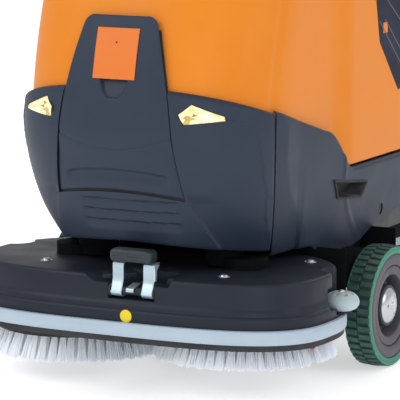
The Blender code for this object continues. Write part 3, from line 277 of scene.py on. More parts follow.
def mathNode(group, operation, first, second=0.5, third=None, clamp=False):
    node = group.nodes.new("ShaderNodeMath")
    node.operation = operation
    node.use_clamp = clamp
    for socket, value in zip(node.inputs, (first, second, third)):
        if value is None:
            continue
        if isinstance(value, (int, float)):
            socket.default_value = value
        else:
            group.links.new(value, socket)
    return node.outputs[0]


def rangeNode(group, value, low, high, toLow=0.0, toHigh=1.0):
    node = group.nodes.new("ShaderNodeMapRange")
    node.interpolation_type = "SMOOTHSTEP"
    group.links.new(value, node.inputs["Value"])
    settings = (("From Min", low), ("From Max", high), ("To Min", toLow), ("To Max", toHigh))
    for label, amount in settings:
        if isinstance(amount, (int, float)):
            node.inputs[label].default_value = amount
        else:
            group.links.new(amount, node.inputs[label])
    return node.outputs[0]


def mixColour(group, factor, first, second, kind="MIX"):
    node = group.nodes.new("ShaderNodeMix")
    node.data_type = "RGBA"
    node.blend_type = kind
    for index, value in ((0, factor), (6, first), (7, second)):
        if isinstance(value, (int, float, tuple)):
            node.inputs[index].default_value = value
        else:
            group.links.new(value, node.inputs[index])
    return node.outputs[2]


def buildGrainGroup():
    inputs = [
        ("Grain Scale", "NodeSocketFloat", 900.0),
        ("Blotch Scale", "NodeSocketFloat", 9.0),
        ("Stretch", "NodeSocketVector", (1.0, 1.0, 1.0)),
        ("Roughness Low", "NodeSocketFloat", 0.35),
        ("Roughness High", "NodeSocketFloat", 0.5),
    ]
    outputs = [("Height", "NodeSocketFloat"), ("Roughness", "NodeSocketFloat"), ("Tone", "NodeSocketFloat")]
    group, source, sink = makeGroup("mouldedGrain", inputs, outputs)
    place = group.nodes.new("ShaderNodeTexCoord")
    stretch = group.nodes.new("ShaderNodeVectorMath")
    stretch.operation = "MULTIPLY"
    group.links.new(place.outputs["Object"], stretch.inputs[0])
    group.links.new(source.outputs["Stretch"], stretch.inputs[1])
    fine = noiseNode(group, stretch.outputs[0], source.outputs["Grain Scale"], 3, 0.6)
    broad = noiseNode(group, stretch.outputs[0], source.outputs["Blotch Scale"], 5, 0.6)
    low, high = source.outputs["Roughness Low"], source.outputs["Roughness High"]
    group.links.new(fine, sink.inputs["Height"])
    group.links.new(rangeNode(group, broad, 0.3, 0.7, low, high), sink.inputs["Roughness"])
    group.links.new(rangeNode(group, broad, 0.25, 0.75), sink.inputs["Tone"])
    return group


def buildWearHighlightGroup():
    inputs = [
        ("Base", "NodeSocketColor", (0.5, 0.5, 0.5, 1)),
        ("Worn And Highlight", "NodeSocketColor", (0.7, 0.7, 0.7, 1)),
        ("Dust", "NodeSocketColor", (0.45, 0.42, 0.38, 1)),
        ("Edge Wear And Highlight", "NodeSocketFloat", 0.3),
        ("Dust Amount", "NodeSocketFloat", 0.15),
        ("Scuff Scale", "NodeSocketFloat", 40.0),
    ]
    outputs = [("Colour", "NodeSocketColor"), ("Edge", "NodeSocketFloat"), ("Dust Mask", "NodeSocketFloat")]
    group, source, sink = makeGroup("wearHighlightAndDust", inputs, outputs)
    place = group.nodes.new("ShaderNodeTexCoord")
    shape = group.nodes.new("ShaderNodeNewGeometry")
    scuff = noiseNode(group, place.outputs["Object"], source.outputs["Scuff Scale"], 6, 0.7)
    # Sharp edges take the worn colour: edge wear, and on the deck a painted highlight.
    sharp = rangeNode(group, shape.outputs["Pointiness"], 0.52, 0.62)
    patchy = rangeNode(group, scuff, 0.42, 0.66)
    edge = mathNode(group, "MULTIPLY", sharp, patchy)
    edge = mathNode(group, "MULTIPLY", edge, source.outputs["Edge Wear And Highlight"], clamp=True)
    parts = group.nodes.new("ShaderNodeSeparateXYZ")
    group.links.new(shape.outputs["Normal"], parts.inputs[0])
    upward = rangeNode(group, parts.outputs["Z"], 0.2, 1.0)
    drift = noiseNode(group, place.outputs["Object"], 14.0, 5, 0.6)
    lying = mathNode(group, "MULTIPLY", upward, rangeNode(group, drift, 0.35, 0.75))
    dust = mathNode(group, "MULTIPLY", lying, source.outputs["Dust Amount"], clamp=True)
    colour = mixColour(group, edge, source.outputs["Base"], source.outputs["Worn And Highlight"])
    colour = mixColour(group, dust, colour, source.outputs["Dust"])
    group.links.new(colour, sink.inputs["Colour"])
    group.links.new(edge, sink.inputs["Edge"])
    group.links.new(dust, sink.inputs["Dust Mask"])
    return group


grainGroup = buildGrainGroup()
wearHighlightGroup = buildWearHighlightGroup()


def makeLook(name, colour, second=None, wornAndHighlight=None, dust=(0.42, 0.40, 0.37), grainScale=900, blotchScale=9,
             stretch=(1, 1, 1), roughness=(0.35, 0.48), bump=0.05, bumpDepth=0.0004, edge=0.3, dustAmount=0.1,
             metallic=0.0, coat=0.0, coatRoughness=0.1, scuffScale=40, emission=None, specular=0.5):
    look = bpy.data.materials.new(name)
    look.use_nodes = True
    tree = look.node_tree
    shader = tree.nodes["Principled BSDF"]
    grain = tree.nodes.new("ShaderNodeGroup")
    grain.node_tree = grainGroup
    grain.inputs["Grain Scale"].default_value = grainScale
    grain.inputs["Blotch Scale"].default_value = blotchScale
    grain.inputs["Stretch"].default_value = stretch
    grain.inputs["Roughness Low"].default_value = roughness[0]
    grain.inputs["Roughness High"].default_value = roughness[1]
    second = second or tuple(value * 0.88 for value in colour)
    base = mixColour(tree, grain.outputs["Tone"], (*second, 1), (*colour, 1))
    wearHighlight = tree.nodes.new("ShaderNodeGroup")
    wearHighlight.node_tree = wearHighlightGroup
    wearHighlight.inputs["Worn And Highlight"].default_value = (*(wornAndHighlight or tuple(min(value * 1.5 + 0.03, 1) for value in colour)), 1)
    wearHighlight.inputs["Dust"].default_value = (*dust, 1)
    wearHighlight.inputs["Edge Wear And Highlight"].default_value = edge
    wearHighlight.inputs["Dust Amount"].default_value = dustAmount
    wearHighlight.inputs["Scuff Scale"].default_value = scuffScale
    tree.links.new(base, wearHighlight.inputs["Base"])
    tree.links.new(wearHighlight.outputs["Colour"], shader.inputs["Base Color"])
    rough = mathNode(
        tree, "ADD", grain.outputs["Roughness"], mathNode(tree, "MULTIPLY", wearHighlight.outputs["Dust Mask"], 0.5)
    )
    tree.links.new(rough, shader.inputs["Roughness"])
    lift = tree.nodes.new("ShaderNodeBump")
    lift.inputs["Strength"].default_value = bump
    lift.inputs["Distance"].default_value = bumpDepth
    tree.links.new(grain.outputs["Height"], lift.inputs["Height"])
    tree.links.new(lift.outputs["Normal"], shader.inputs["Normal"])
    shader.inputs["Metallic"].default_value = metallic
    shader.inputs["Coat Weight"].default_value = coat
    shader.inputs["Coat Roughness"].default_value = coatRoughness
    shader.inputs["Specular IOR Level"].default_value = specular
    if emission:
        shader.inputs["Emission Color"].default_value = (*emission[0], 1)
        shader.inputs["Emission Strength"].default_value = emission[1]
    return look


print("materials")
coverLook = makeLook("anthracite plastic", (0.026, 0.036, 0.060), second=(0.023, 0.033, 0.055),
                     wornAndHighlight=(0.08, 0.10, 0.14), roughness=(0.42, 0.52), bump=0.12, edge=0.35, dustAmount=0.012,
                     specular=0.22)
# Light edge colour with a strong edge amount: a painted highlight along the deck's rim edges, on top of some edge wear.
deckLook = makeLook("deck plastic", (0.014, 0.019, 0.031), second=(0.012, 0.016, 0.027), wornAndHighlight=(0.07, 0.08, 0.11),
                    roughness=(0.38, 0.50), bump=0.10, edge=0.5, dustAmount=0.02, specular=0.22)
orangeLook = makeLook("orange tank", (0.74, 0.225, 0.012), second=(0.70, 0.205, 0.010), wornAndHighlight=(0.80, 0.36, 0.11),
                      roughness=(0.38, 0.48), bump=0.08, blotchScale=5, edge=0.15, dustAmount=0.008, grainScale=600,
                      specular=0.22)
badgeLook = makeLook("badge plate", (0.72, 0.185, 0.030), second=(0.70, 0.175, 0.028), roughness=(0.38, 0.46),
    specular=0.2,
                     bump=0.03, edge=0.1, dustAmount=0.02)
stripLook = makeLook("bumper strip", (0.41, 0.50, 0.59), second=(0.37, 0.46, 0.55), wornAndHighlight=(0.30, 0.34, 0.40),
                     roughness=(0.45, 0.6), bump=0.08, edge=0.25, dustAmount=0.05, scuffScale=60)
rubberLook = makeLook("black rubber", (0.013, 0.014, 0.016), second=(0.018, 0.019, 0.021), wornAndHighlight=(0.05, 0.05, 0.05),
                      roughness=(0.6, 0.78), bump=0.25, grainScale=500, edge=0.35, dustAmount=0.2)
padLook = makeLook("pedal rubber", (0.016, 0.026, 0.032), second=(0.012, 0.02, 0.025), wornAndHighlight=(0.07, 0.09, 0.1),
                   roughness=(0.45, 0.6), bump=0.2, grainScale=500, edge=0.5, dustAmount=0.15)
steelLook = makeLook("zinc steel", (0.52, 0.66, 0.73), second=(0.45, 0.58, 0.66), wornAndHighlight=(0.75, 0.82, 0.86),
                     roughness=(0.3, 0.45), bump=0.06, stretch=(1, 1, 14), metallic=0.75, edge=0.3, dustAmount=0.05)
paintLook = makeLook("black painted steel", (0.012, 0.013, 0.016), second=(0.010, 0.011, 0.013),
                     wornAndHighlight=(0.12, 0.12, 0.13), roughness=(0.5, 0.62), bump=0.12, metallic=0.1, edge=0.25,
                     dustAmount=0.03, specular=0.25)
machinedLook = makeLook("machined steel", (0.62, 0.64, 0.66), second=(0.5, 0.52, 0.55), wornAndHighlight=(0.85, 0.86, 0.87),
                        roughness=(0.22, 0.4), bump=0.08, stretch=(6, 1, 1), metallic=0.9, edge=0.3, dustAmount=0.02)
rollerLook = makeLook("roller nylon", (0.44, 0.54, 0.57), second=(0.39, 0.49, 0.52), wornAndHighlight=(0.62, 0.68, 0.7),
                      roughness=(0.35, 0.5), bump=0.06, edge=0.3, dustAmount=0.06)
treadLook = makeLook("green tread", (0.020, 0.066, 0.054), second=(0.016, 0.056, 0.046), wornAndHighlight=(0.06, 0.13, 0.11),
                     roughness=(0.62, 0.78), bump=0.3, grainScale=450, edge=0.5, dustAmount=0.15)
sidewallLook = makeLook("green sidewall", (0.045, 0.25, 0.165), second=(0.04, 0.21, 0.14), wornAndHighlight=(0.12, 0.3, 0.24),
                        roughness=(0.55, 0.7), bump=0.2, grainScale=450, edge=0.35, dustAmount=0.08)
rimLook = makeLook("rim plastic", (0.075, 0.066, 0.088), second=(0.06, 0.054, 0.072), wornAndHighlight=(0.15, 0.14, 0.17),
                   roughness=(0.42, 0.58), bump=0.18, edge=0.4, dustAmount=0.08)
bowlLook = makeLook("rim bowl", (0.030, 0.034, 0.046), second=(0.024, 0.028, 0.038), roughness=(0.45, 0.6),
                    bump=0.15, edge=0.4, dustAmount=0.1)
bristleLook = makeLook("nylon bristle", (0.93, 0.96, 1.0), second=(0.80, 0.86, 0.95), wornAndHighlight=(0.96, 0.98, 1.0),
                       roughness=(0.5, 0.65), bump=0.5, bumpDepth=0.001, grainScale=120, stretch=(5, 5, 0.4),
                       blotchScale=45, edge=0.3, dustAmount=0.0)
redBristleLook = makeLook("red marker bristle", (0.62, 0.012, 0.04), roughness=(0.5, 0.65), bump=0.3,
                          stretch=(5, 5, 0.4), grainScale=120, edge=0.2, dustAmount=0)
lampLook = makeLook("lamp lens", (0.98, 0.92, 0.66), second=(0.80, 0.60, 0.20), roughness=(0.08, 0.16), bump=0.02,
                    blotchScale=55, stretch=(1, 1, 1.6), edge=0, dustAmount=0, metallic=0.25, coat=1.0,
                    coatRoughness=0.03, emission=((1.0, 0.93, 0.62), 0.22))
lampRimLook = makeLook("lamp reflector", (0.70, 0.52, 0.14), second=(0.45, 0.33, 0.08), roughness=(0.15, 0.25),
                       bump=0.02, blotchScale=60, edge=0, dustAmount=0, metallic=0.8, coat=0.6)
yellowLook = makeLook("yellow marker", (0.80, 0.60, 0.010), roughness=(0.4, 0.5), bump=0.03, edge=0.05, dustAmount=0.02)
labelLook = makeLook("navy label film", (0.008, 0.012, 0.028), second=(0.011, 0.016, 0.036), roughness=(0.45, 0.55),
    specular=0.12,
                     bump=0.02, edge=0.05, dustAmount=0.0)
labelLineLook = makeLook("label print", (0.05, 0.065, 0.11), roughness=(0.3, 0.4), bump=0.02, edge=0, dustAmount=0)
screenLook = makeLook("display glass", (0.010, 0.014, 0.020), roughness=(0.05, 0.1), bump=0.01, edge=0, dustAmount=0.02,
                      coat=1.0, coatRoughness=0.02)
screenPrintLook = makeLook("display figures", (0.35, 0.65, 0.75), roughness=(0.2, 0.3), bump=0.01, edge=0, dustAmount=0,
                           emission=((0.35, 0.75, 0.9), 0.6))
redLook = makeLook("red button", (0.62, 0.012, 0.012), roughness=(0.28, 0.38), bump=0.04, edge=0.15, dustAmount=0.05)
greenLook = makeLook("green button", (0.03, 0.36, 0.09), roughness=(0.28, 0.38), bump=0.04, edge=0.15, dustAmount=0.05)
batteryLook = makeLook("battery case", (0.04, 0.042, 0.048), second=(0.05, 0.052, 0.058), roughness=(0.5, 0.65),
                       bump=0.2, edge=0.3, dustAmount=0.2)
# Near-black matte with almost no specular: painted shade, so the gear cases, frame, deck arms, wheel guards and
# underside plates read as the shadow under the covers.
shadeBlackLook = makeLook("gear case in painted-shade black", (0.004, 0.0045, 0.006), wornAndHighlight=(0.02, 0.02, 0.024), roughness=(0.75, 0.85),
    bump=0.1,
                        edge=0.2, dustAmount=0.0, specular=0.08)
hoseLook = makeLook("hose plastic", (0.022, 0.023, 0.026), second=(0.03, 0.031, 0.035), roughness=(0.4, 0.55),
                    bump=0.1, edge=0.4, dustAmount=0.12)


# The body's surface, which the covers, the panel and the tanks share

body = {
    "half": 0.288, "front": -0.205, "depth": 0.25, "power": 2.5, "wideHalf": 0.303, "wideY": 0.25, "rear": 0.93,
    "rearRadius": 0.09, "widestZ": 0.53, "tuckHeight": 0.25, "sideTuck": 0.046, "frontTuck": 0.0735,
    "rearTuck": 0.02, "leanSlope": 0.0622, "leanCurve": 0.655,
}
bendY = body["front"] + body["depth"]


def tuckAt(z):
    return (min(z - body["widestZ"], 0) / body["tuckHeight"]) ** 2


def frontY(z):
    lean = max(z - body["widestZ"], 0)
    return body["front"] + body["frontTuck"] * tuckAt(z) + body["leanSlope"] * lean + body["leanCurve"] * lean * lean


def cornerPoint(turn, z, inset=0.0):
    half = body["half"] - body["sideTuck"] * tuckAt(z) - inset
    across = math.sin(abs(turn)) ** (2 / body["power"])
    along = max(math.cos(turn), 0.0) ** (2 / body["power"])
    y = frontY(z) + inset + (body["depth"] - inset) * (1 - along)
    return (math.copysign(half * across, turn), y, z)


def surfaceY(x, z, inset=0.0):
    half = body["half"] - body["sideTuck"] * tuckAt(z) - inset
    share = min(abs(x) / half, 1.0) ** body["power"]
    return frontY(z) + inset + (body["depth"] - inset) * (1 - (1 - share) ** (1 / body["power"]))


def sideHalf(y, z):
    share = min(max((y - bendY) / (body["wideY"] - bendY), 0), 1)
    back = min(max((y - bendY) / (body["rear"] - bendY), 0), 1)
    grown = body["half"] + (body["wideHalf"] - body["half"]) * share
    return grown - body["sideTuck"] * (1 - 0.55 * back) * tuckAt(z)


def lineGap(x, z, points):
    best = (1.0, 1.0)
    for (ax, az), (bx, bz) in zip(points, points[1:]):
        dx, dz = bx - ax, bz - az
        share = min(max(((x - ax) * dx + (z - az) * dz) / (dx * dx + dz * dz), 0), 1)
        px, pz = ax + dx * share, az + dz * share
        away = math.hypot(x - px, z - pz)
        if away < best[0]:
            best = (away, math.copysign(away, dx * (z - az) - dz * (x - ax)))
    return best


# Front cover

print("front cover")
coverSize = {
    "sideStart": 0.150,
    "seamTurn": math.radians(73), "wall": 0.0035, "shoulder": 0.0105, "topFront": 0.614, "topDrop": 0.054,
    "bottomFront": 0.303, "bottomRise": 0.030, "columns": 150, "rows": 128, "louvreDepth": 0.0062,
    "louvreX": (-0.086, 0.128), "louvreZ": (0.326, 0.392), "louvres": 3,
    "crease": (
        (0.205, 0.561), (0.236, 0.552), (0.253, 0.540), (0.261, 0.515), (0.264, 0.47), (0.260, 0.40), (0.242, 0.32)
    ),
    "lowCrease": ((0.29, 0.176), (0.315, 0.170), (0.366, 0.155), (0.400, 0.142)),
}
panelSize = {
    "bottom": 0.397, "arch": 0.013, "top": 0.749, "kinkZ": 0.528, "halfBottom": 0.139, "halfKink": 0.1226,
    "halfTop": 0.077,
    "wall": 0.007, "gap": 0.0025, "corner": 0.017,
}
lampOutline = ((0.139, 0.566), (0.160, 0.586), (0.219, 0.562), (0.221, 0.553), (0.146, 0.545))


def panelHalf(z):
    if z < panelSize["kinkZ"]:
        share = (panelSize["kinkZ"] - z) / (panelSize["kinkZ"] - panelSize["bottom"])
        return panelSize["halfKink"] + (panelSize["halfBottom"] - panelSize["halfKink"]) * share
    share = (z - panelSize["kinkZ"]) / (panelSize["top"] - panelSize["kinkZ"])
    straight = panelSize["halfKink"] + (panelSize["halfTop"] - panelSize["halfKink"]) * share ** 1.35
    corner = max(z - (panelSize["top"] - panelSize["corner"]), 0)
    return straight - panelSize["corner"] + math.sqrt(max(panelSize["corner"] ** 2 - corner ** 2, 0))


def coverDepth(x, z):
    size = coverSize
    depth = 0.0
    low, high = size["louvreX"]
    foot, head = size["louvreZ"]
    if foot < z < head and low - 0.01 < x < high + 0.01:
        share = (z - foot) / (head - foot) * size["louvres"]
        slat = share - math.floor(share)
        ends = smoothStep(x, low, low + 0.012) * (1 - smoothStep(x, high - 0.012, high))
        depth += size["louvreDepth"] * ends * (slat if slat < 0.86 else (1 - slat) / 0.14)
    away, sign = lineGap(abs(x), z, size["crease"])
    depth -= 0.0026 * math.exp(-away / 0.016)
    depth += 0.0016 * smoothStep(sign, -0.05, 0.0) * (1 - smoothStep(sign, 0.0, 0.004)) * (0 if sign > 0 else 1)
    outside = abs(x) - curveAt(size["lowCrease"], z)
    depth += 0.0065 * smoothStep(outside, 0, 0.007) * (1 - smoothStep(outside, 0.012, 0.075)) * (
        1 - smoothStep(z, 0.385, 0.412)
    )
    return depth


def buildFrontCover():
    size = coverSize
    rows = []
    columns = [size["seamTurn"] * (2 * step / size["columns"] - 1) for step in range(size["columns"] + 1)]
    shoulder = [(math.sin(math.radians(a)), 1 - math.cos(math.radians(a))) for a in (15, 30, 45, 60, 75, 88)]
    for level in range(size["rows"] + 1 + len(shoulder)):
        row = []
        for turn in columns:
            share = abs(turn) / size["seamTurn"]
            low = size["bottomFront"] - size["bottomRise"] * share ** 1.3
            high = size["topFront"] - size["topDrop"] * share ** 1.8
            flat = high - size["shoulder"]
            if level <= size["rows"]:
                z, inset = low + (flat - low) * level / size["rows"], 0.0
            else:
                rise, back = shoulder[level - size["rows"] - 1]
                z, inset = flat + size["shoulder"] * rise, size["shoulder"] * back
            x = cornerPoint(turn, z, inset)[0]
            foot = 0.0025 * (1 - smoothStep(z, low, low + 0.004))
            edge = 0.0018 * smoothStep(abs(turn), size["seamTurn"] - 0.012, size["seamTurn"])
            row.append(cornerPoint(turn, z, inset + coverDepth(x, z) + foot + edge))
        rows.append(row)
    cover = gridPiece("frontCoverShell", rows)
    pickFaces(cover, lambda centre, normal: True)
    bpy.ops.mesh.normals_make_consistent(inside=False)
    bpy.ops.object.mode_set(mode="OBJECT")
    walled(cover, size["wall"])
    foot = panelSize["bottom"] - panelSize["gap"] - 0.002
    heights = [foot + (panelSize["top"] - panelSize["corner"] - foot) * step / 16 for step in range(17)]
    heights += [
        panelSize["top"] - panelSize["corner"] * (1 - math.sin(math.radians(a))) for a in (15, 30, 45, 60, 75, 88)
    ]
    sides = [(panelHalf(max(z, panelSize["bottom"])) + panelSize["gap"], z) for z in heights]
    outline = sides + [(-x, z) for x, z in reversed(sides)]
    for step in range(1, 20):
        x = sides[0][0] * (step / 10 - 1)
        outline.append((x, foot + panelSize["arch"] * (1 - (x / sides[0][0]) ** 2)))
    cutWith(cover, outlinePiece("panelOpening", outline, "Y", -0.30, -0.02))
    for side in (1, -1):
        shape = [(side * x, z) for x, z in lampOutline]
        cutWith(cover, outlinePiece("lampOpening", shape, "Y", -0.30, 0.0))
    finishPiece(cover, coverLook, "chassis", ("front_cover",), 28)


buildFrontCover()

# Front panel and its badge plate

print("front panel")
panelShape = {
    "columns": 116, "rows": 190, "rim": 0.003, "creaseDepth": 0.0042, "browDepth": 0.0056,
    "crease": (
        (-0.13, 0.520), (-0.114, 0.515), (-0.070, 0.499), (-0.024, 0.491), (0.024, 0.491), (0.070, 0.499),
        (0.114, 0.515), (0.13, 0.520)
    ),
    "browTop": ((0.0, 0.4520), (0.05, 0.4505), (0.09, 0.4460), (0.115, 0.4405), (0.15, 0.43)),
    "fingerHalf": 0.031, "fingerRound": 0.020, "fingerTop": 0.6285, "fingerLow": 0.590, "fingerDepth": 0.010,
}


def panelDepth(x, z):
    shape = panelShape
    depth = 0.0
    creaseZ = curveAt(shape["crease"], x)
    depth += shape["creaseDepth"] * smoothStep(creaseZ - z, 0.0, 0.045)
    depth += 0.0020 * math.exp(-((z - creaseZ) / 0.0022) ** 2)
    browZ = curveAt(shape["browTop"], abs(x))
    ends = 1 - smoothStep(abs(x), 0.102, 0.116)
    depth += shape["browDepth"] * ends * smoothStep(browZ + 0.003 - z, 0.0, 0.008) * (
        1 - smoothStep(browZ - z, 0.006, 0.030)
    )
    reach = shape["fingerHalf"]
    curve = shape["fingerRound"]
    curveIn = min(max(shape["fingerLow"] + curve - z, 0.0), curve)
    reach = reach - 0.010 * smoothStep(shape["fingerTop"] - z, 0, 0.04) - curve * 0.7 * (
        1 - math.sqrt(1 - (curveIn / curve) ** 2)
    )
    if shape["fingerLow"] < z < shape["fingerTop"] and abs(x) < reach:
        inside = min(reach - abs(x), z - shape["fingerLow"])
        depth += shape["fingerDepth"] * smoothStep(inside, 0.0, 0.0045) * (
            0.45 + 0.55 * smoothStep(z, shape["fingerLow"], shape["fingerTop"])
        )
    return depth


def buildFrontPanel():
    rows = []
    foot, head = panelSize["bottom"], panelSize["top"]
    count = panelShape["rows"]
    arched = panelSize["kinkZ"]
    corner = [head - panelSize["corner"] * (1 - math.sin(math.radians(a))) for a in (8, 16, 24, 32, 40, 48, 56, 64, 72,
        80, 87, 90)]
    heights = [foot + (head - panelSize["corner"] - foot) * step / count for step in range(count + 1)] + corner
    for z in heights:
        half = panelHalf(z)
        row = []
        for step in range(panelShape["columns"] + 1):
            share = 2 * step / panelShape["columns"] - 1
            x = half * (1 - (1 - abs(share)) ** 1.15) * (1 if share > 0 else -1)
            lift = panelSize["arch"] * (1 - (x / panelSize["halfBottom"]) ** 2)
            height = z + lift * max(arched - z, 0) / (arched - foot)
            border = min(half - abs(x), head - z, z - foot)
            rim = panelShape["rim"]
            near = max(rim - border, 0)
            lip = rim - math.sqrt(max(rim * rim - near * near, 0))
            row.append((x, surfaceY(x, height) + panelDepth(x, height) + lip * 0.6, height))
        rows.append(row)
    panel = gridPiece("frontPanelShell", rows)
    pickFaces(panel, lambda centre, normal: True)
    bpy.ops.mesh.normals_make_consistent(inside=False)
    bpy.ops.object.mode_set(mode="OBJECT")
    if panel.data.polygons[0].normal.y > 0:
        pickFaces(panel, lambda centre, normal: True)
        bpy.ops.mesh.flip_normals()
        bpy.ops.object.mode_set(mode="OBJECT")
    walled(panel, 0.0035)
    finishPiece(panel, coverLook, "front_panel", ("front_panel",), 40)


def buildBadge():
    badge = {"half": 0.0465, "low": 0.628, "high": 0.726, "proud": 0.0034, "border": 0.0016}
    rows = []
    middle = (badge["low"] + badge["high"]) / 2
    tall = (badge["high"] - badge["low"]) / 2
    for down in range(45):
        v = 2 * down / 44 - 1
        row = []
        for across in range(41):
            u = 2 * across / 40 - 1
            x = badge["half"] * (1 - (1 - abs(u)) ** 1.2) * math.copysign(1, u)
            z = middle + tall * (1 - (1 - abs(v)) ** 1.2) * math.copysign(1, v)
            edge = min(badge["half"] - abs(x), tall - abs(z - middle))
            dish = 0.0006 * smoothStep(edge, badge["border"], badge["border"] + 0.0015)
            soft = 0.0016 * (1 - smoothStep(edge, 0, 0.0025))
            row.append((x, surfaceY(x, z) - badge["proud"] + dish + soft, z))
        rows.append(row)
    plate = gridPiece("badgePlate", rows)
    pickFaces(plate, lambda centre, normal: True)
    bpy.ops.mesh.normals_make_consistent(inside=False)
    bpy.ops.object.mode_set(mode="OBJECT")
    if plate.data.polygons[len(plate.data.polygons) // 2].normal.y > 0:
        pickFaces(plate, lambda centre, normal: True)
        bpy.ops.mesh.flip_normals()
        bpy.ops.object.mode_set(mode="OBJECT")
    walled(plate, 0.0028)
    rounded(plate, 0.0022, 3, 60)
    finishPiece(plate, badgeLook, "front_panel", ("panel_badge",), 40)
    lockZ = 0.6985
    lock = lathe("badgeLock", [(0, 0.0008), (0.0012, 0.0008), (0.0016, 0.0004), (0.0016, -0.002), (0, -0.002)], 24,
                 (0.0, surfaceY(0, lockZ) - badge["proud"], lockZ), "Y")
    finishPiece(lock, rubberLook, "front_panel")


# Black rubber strips behind the panel gap: they stop the floor showing through, and their black stands in for the shade
# in the gap.
def buildPanelSeatShade():
    seatHalf, seatDepth = 0.009, 0.0098
    foot, head = panelSize["bottom"], panelSize["top"]
    strips = []
    for side in (1, -1):
        rows = []
        for step in range(41):
            z = foot - 0.004 + (head - foot - 0.022) * step / 40
            half = panelHalf(max(z, foot))
            shift = 0.004 - 0.012 * smoothStep(z, 0.545, 0.585)
            xs = [side * (half + shift) - seatHalf * (across / 3 - 1) for across in range(7)]
            rows.append([(x, surfaceY(x, z) + seatDepth, z) for x in xs])
        strips.append(gridPiece("seat", rows))
    rows = []
    for across in range(41):
        x = 0.144 * (across / 20 - 1)
        z = foot + panelSize["arch"] * (1 - (x / panelSize["halfBottom"]) ** 2)
        rows.append([(x, surfaceY(x, z) + seatDepth, z - 0.012 + 0.004 * step) for step in range(6)])
    strips.append(gridPiece("seat", rows))
    for strip in strips:
        walled(strip, 0.0014)
    finishPiece(joinPieces("panelSeatShade", strips), rubberLook, "chassis")


buildFrontPanel()
buildBadge()
buildPanelSeatShade()

# Headlights

print("headlights")
lampSize = {"proud": 0.0015, "depth": 0.014, "rim": 0.0022}


def buildHeadlight(side, name):
    centreX = sum(x for x, z in lampOutline) / 5
    centreZ = sum(z for x, z in lampOutline) / 5
    shape = []
    for x, z in lampOutline:
        dx, dz = x - centreX, z - centreZ
        shrink = 1 - 0.0011 / math.hypot(dx, dz)
        shape.append((side * (centreX + dx * shrink), centreZ + dz * shrink))
    if side < 0:
        shape.reverse()
    lens = outlinePiece("headlight" + name, shape, "Y", -0.30, -0.28)
    activate(lens)
    bpy.ops.object.mode_set(mode="EDIT")
    bpy.ops.mesh.select_all(action="SELECT")
    bpy.ops.mesh.quads_convert_to_tris()
    bpy.ops.mesh.subdivide(number_cuts=5)
    bpy.ops.object.mode_set(mode="OBJECT")
    # The lens follows the cover, with an outer facet that slopes back towards the wheel side.
    foldA = ((0.139, 0.566), (0.185, 0.561), (0.221, 0.556))
    foldB = ((0.160, 0.586), (0.166, 0.562), (0.146, 0.545))
    for vertex in lens.data.vertices:
        front = vertex.co.y < -0.29
        x, z = abs(vertex.co.x), vertex.co.z
        away, sign = lineGap(x, z, foldA)
        crown = 0.0045 * (1 - min(away / 0.016, 1.0))
        away, sign = lineGap(x, z, foldB)
        crown -= 0.0035 * (1 - min(away / 0.010, 1.0))
        base = surfaceY(x, z)
        vertex.co.y = base - lampSize["proud"] - crown if front else base + lampSize["depth"]
    lens.data.update()
    cleanMesh(lens)
    rounded(lens, 0.0006, 2, 40)
    setLook(lens, lampLook)
    lens.data.materials.append(lampRimLook)
    for face in lens.data.polygons:
        x, z = abs(face.center.x), face.center.z
        away = lineGap(x, z, foldA)[0]
        inner = lineGap(x, z, foldB)[0]
        border = min(lineGap(x, z, (a, b))[0] for a, b in zip(lampOutline, lampOutline[1:] + lampOutline[:1]))
        dark = border < 0.0015 or (inner < 0.0035 and z < 0.575) or (0.150 < x < 0.166 and 0.553 < z < 0.563)
        face.material_index = 1 if dark else 0
    finishPiece(lens, None, "chassis", ("headlight_" + name.lower(),), 12)


buildHeadlight(1, "Left")
buildHeadlight(-1, "Right")

# Side covers

print("side covers")
sideSize = {
    "wall": 0.0035, "shoulder": 0.0105, "topZ": 0.551, "topSlope": 0.303, "stepStart": 0.165, "stepEnd": 0.295,
    "lowTop": 0.412, "bottomZ": 0.262, "toeZ": 0.226, "rearZ": 0.285, "rows": 84,
    "pocket": ((0.207, 0.392), (0.362, 0.372), (0.345, 0.343), (0.234, 0.354)),
    "crease": (
        (-0.03, 0.56), (-0.006, 0.53), (-0.010, 0.465), (0.006, 0.392), (0.052, 0.335), (0.12, 0.285), (0.21, 0.240)
    ),
    "beadUp": ((0.238, 0.47), (0.2434, 0.4229), (0.250, 0.392)),
    "beadLow": ((0.2747, 0.3455), (0.2999, 0.3164), (0.3309, 0.2883), (0.374, 0.2581), (0.42, 0.232)),
}


def coverTop(y):
    size = sideSize
    straight = size["topZ"] - size["topSlope"] * min(y, size["stepStart"])
    drop = smoothStep(y, size["stepStart"], size["stepEnd"])
    return straight + (size["lowTop"] - straight) * drop


def coverFoot(y):
    size = sideSize
    toe = size["bottomZ"] + (size["toeZ"] - size["bottomZ"]) * smoothStep(y, 0.17, 0.25)
    return toe + (size["rearZ"] - size["toeZ"]) * smoothStep(y, 0.35, 0.53)


def sideStations():
    start = coverSize["seamTurn"] + math.radians(0.9)
    found = [("turn", start + (math.pi / 2 - start) * step / 14) for step in range(15)]
    found += [("near", step / 6) for step in range(1, 6)]
    y = coverSize["sideStart"]
    while y < body["rear"] - body["rearRadius"] - 0.004:
        found.append(("y", y))
        y += 0.006 if y < 0.40 else 0.014
    found.append(("y", body["rear"] - body["rearRadius"]))
    found += [("bend", math.radians(a)) for a in range(9, 91, 9)]
    found += [("back", x) for x in (0.17, 0.13, 0.09, 0.05, 0.002)]
    return found


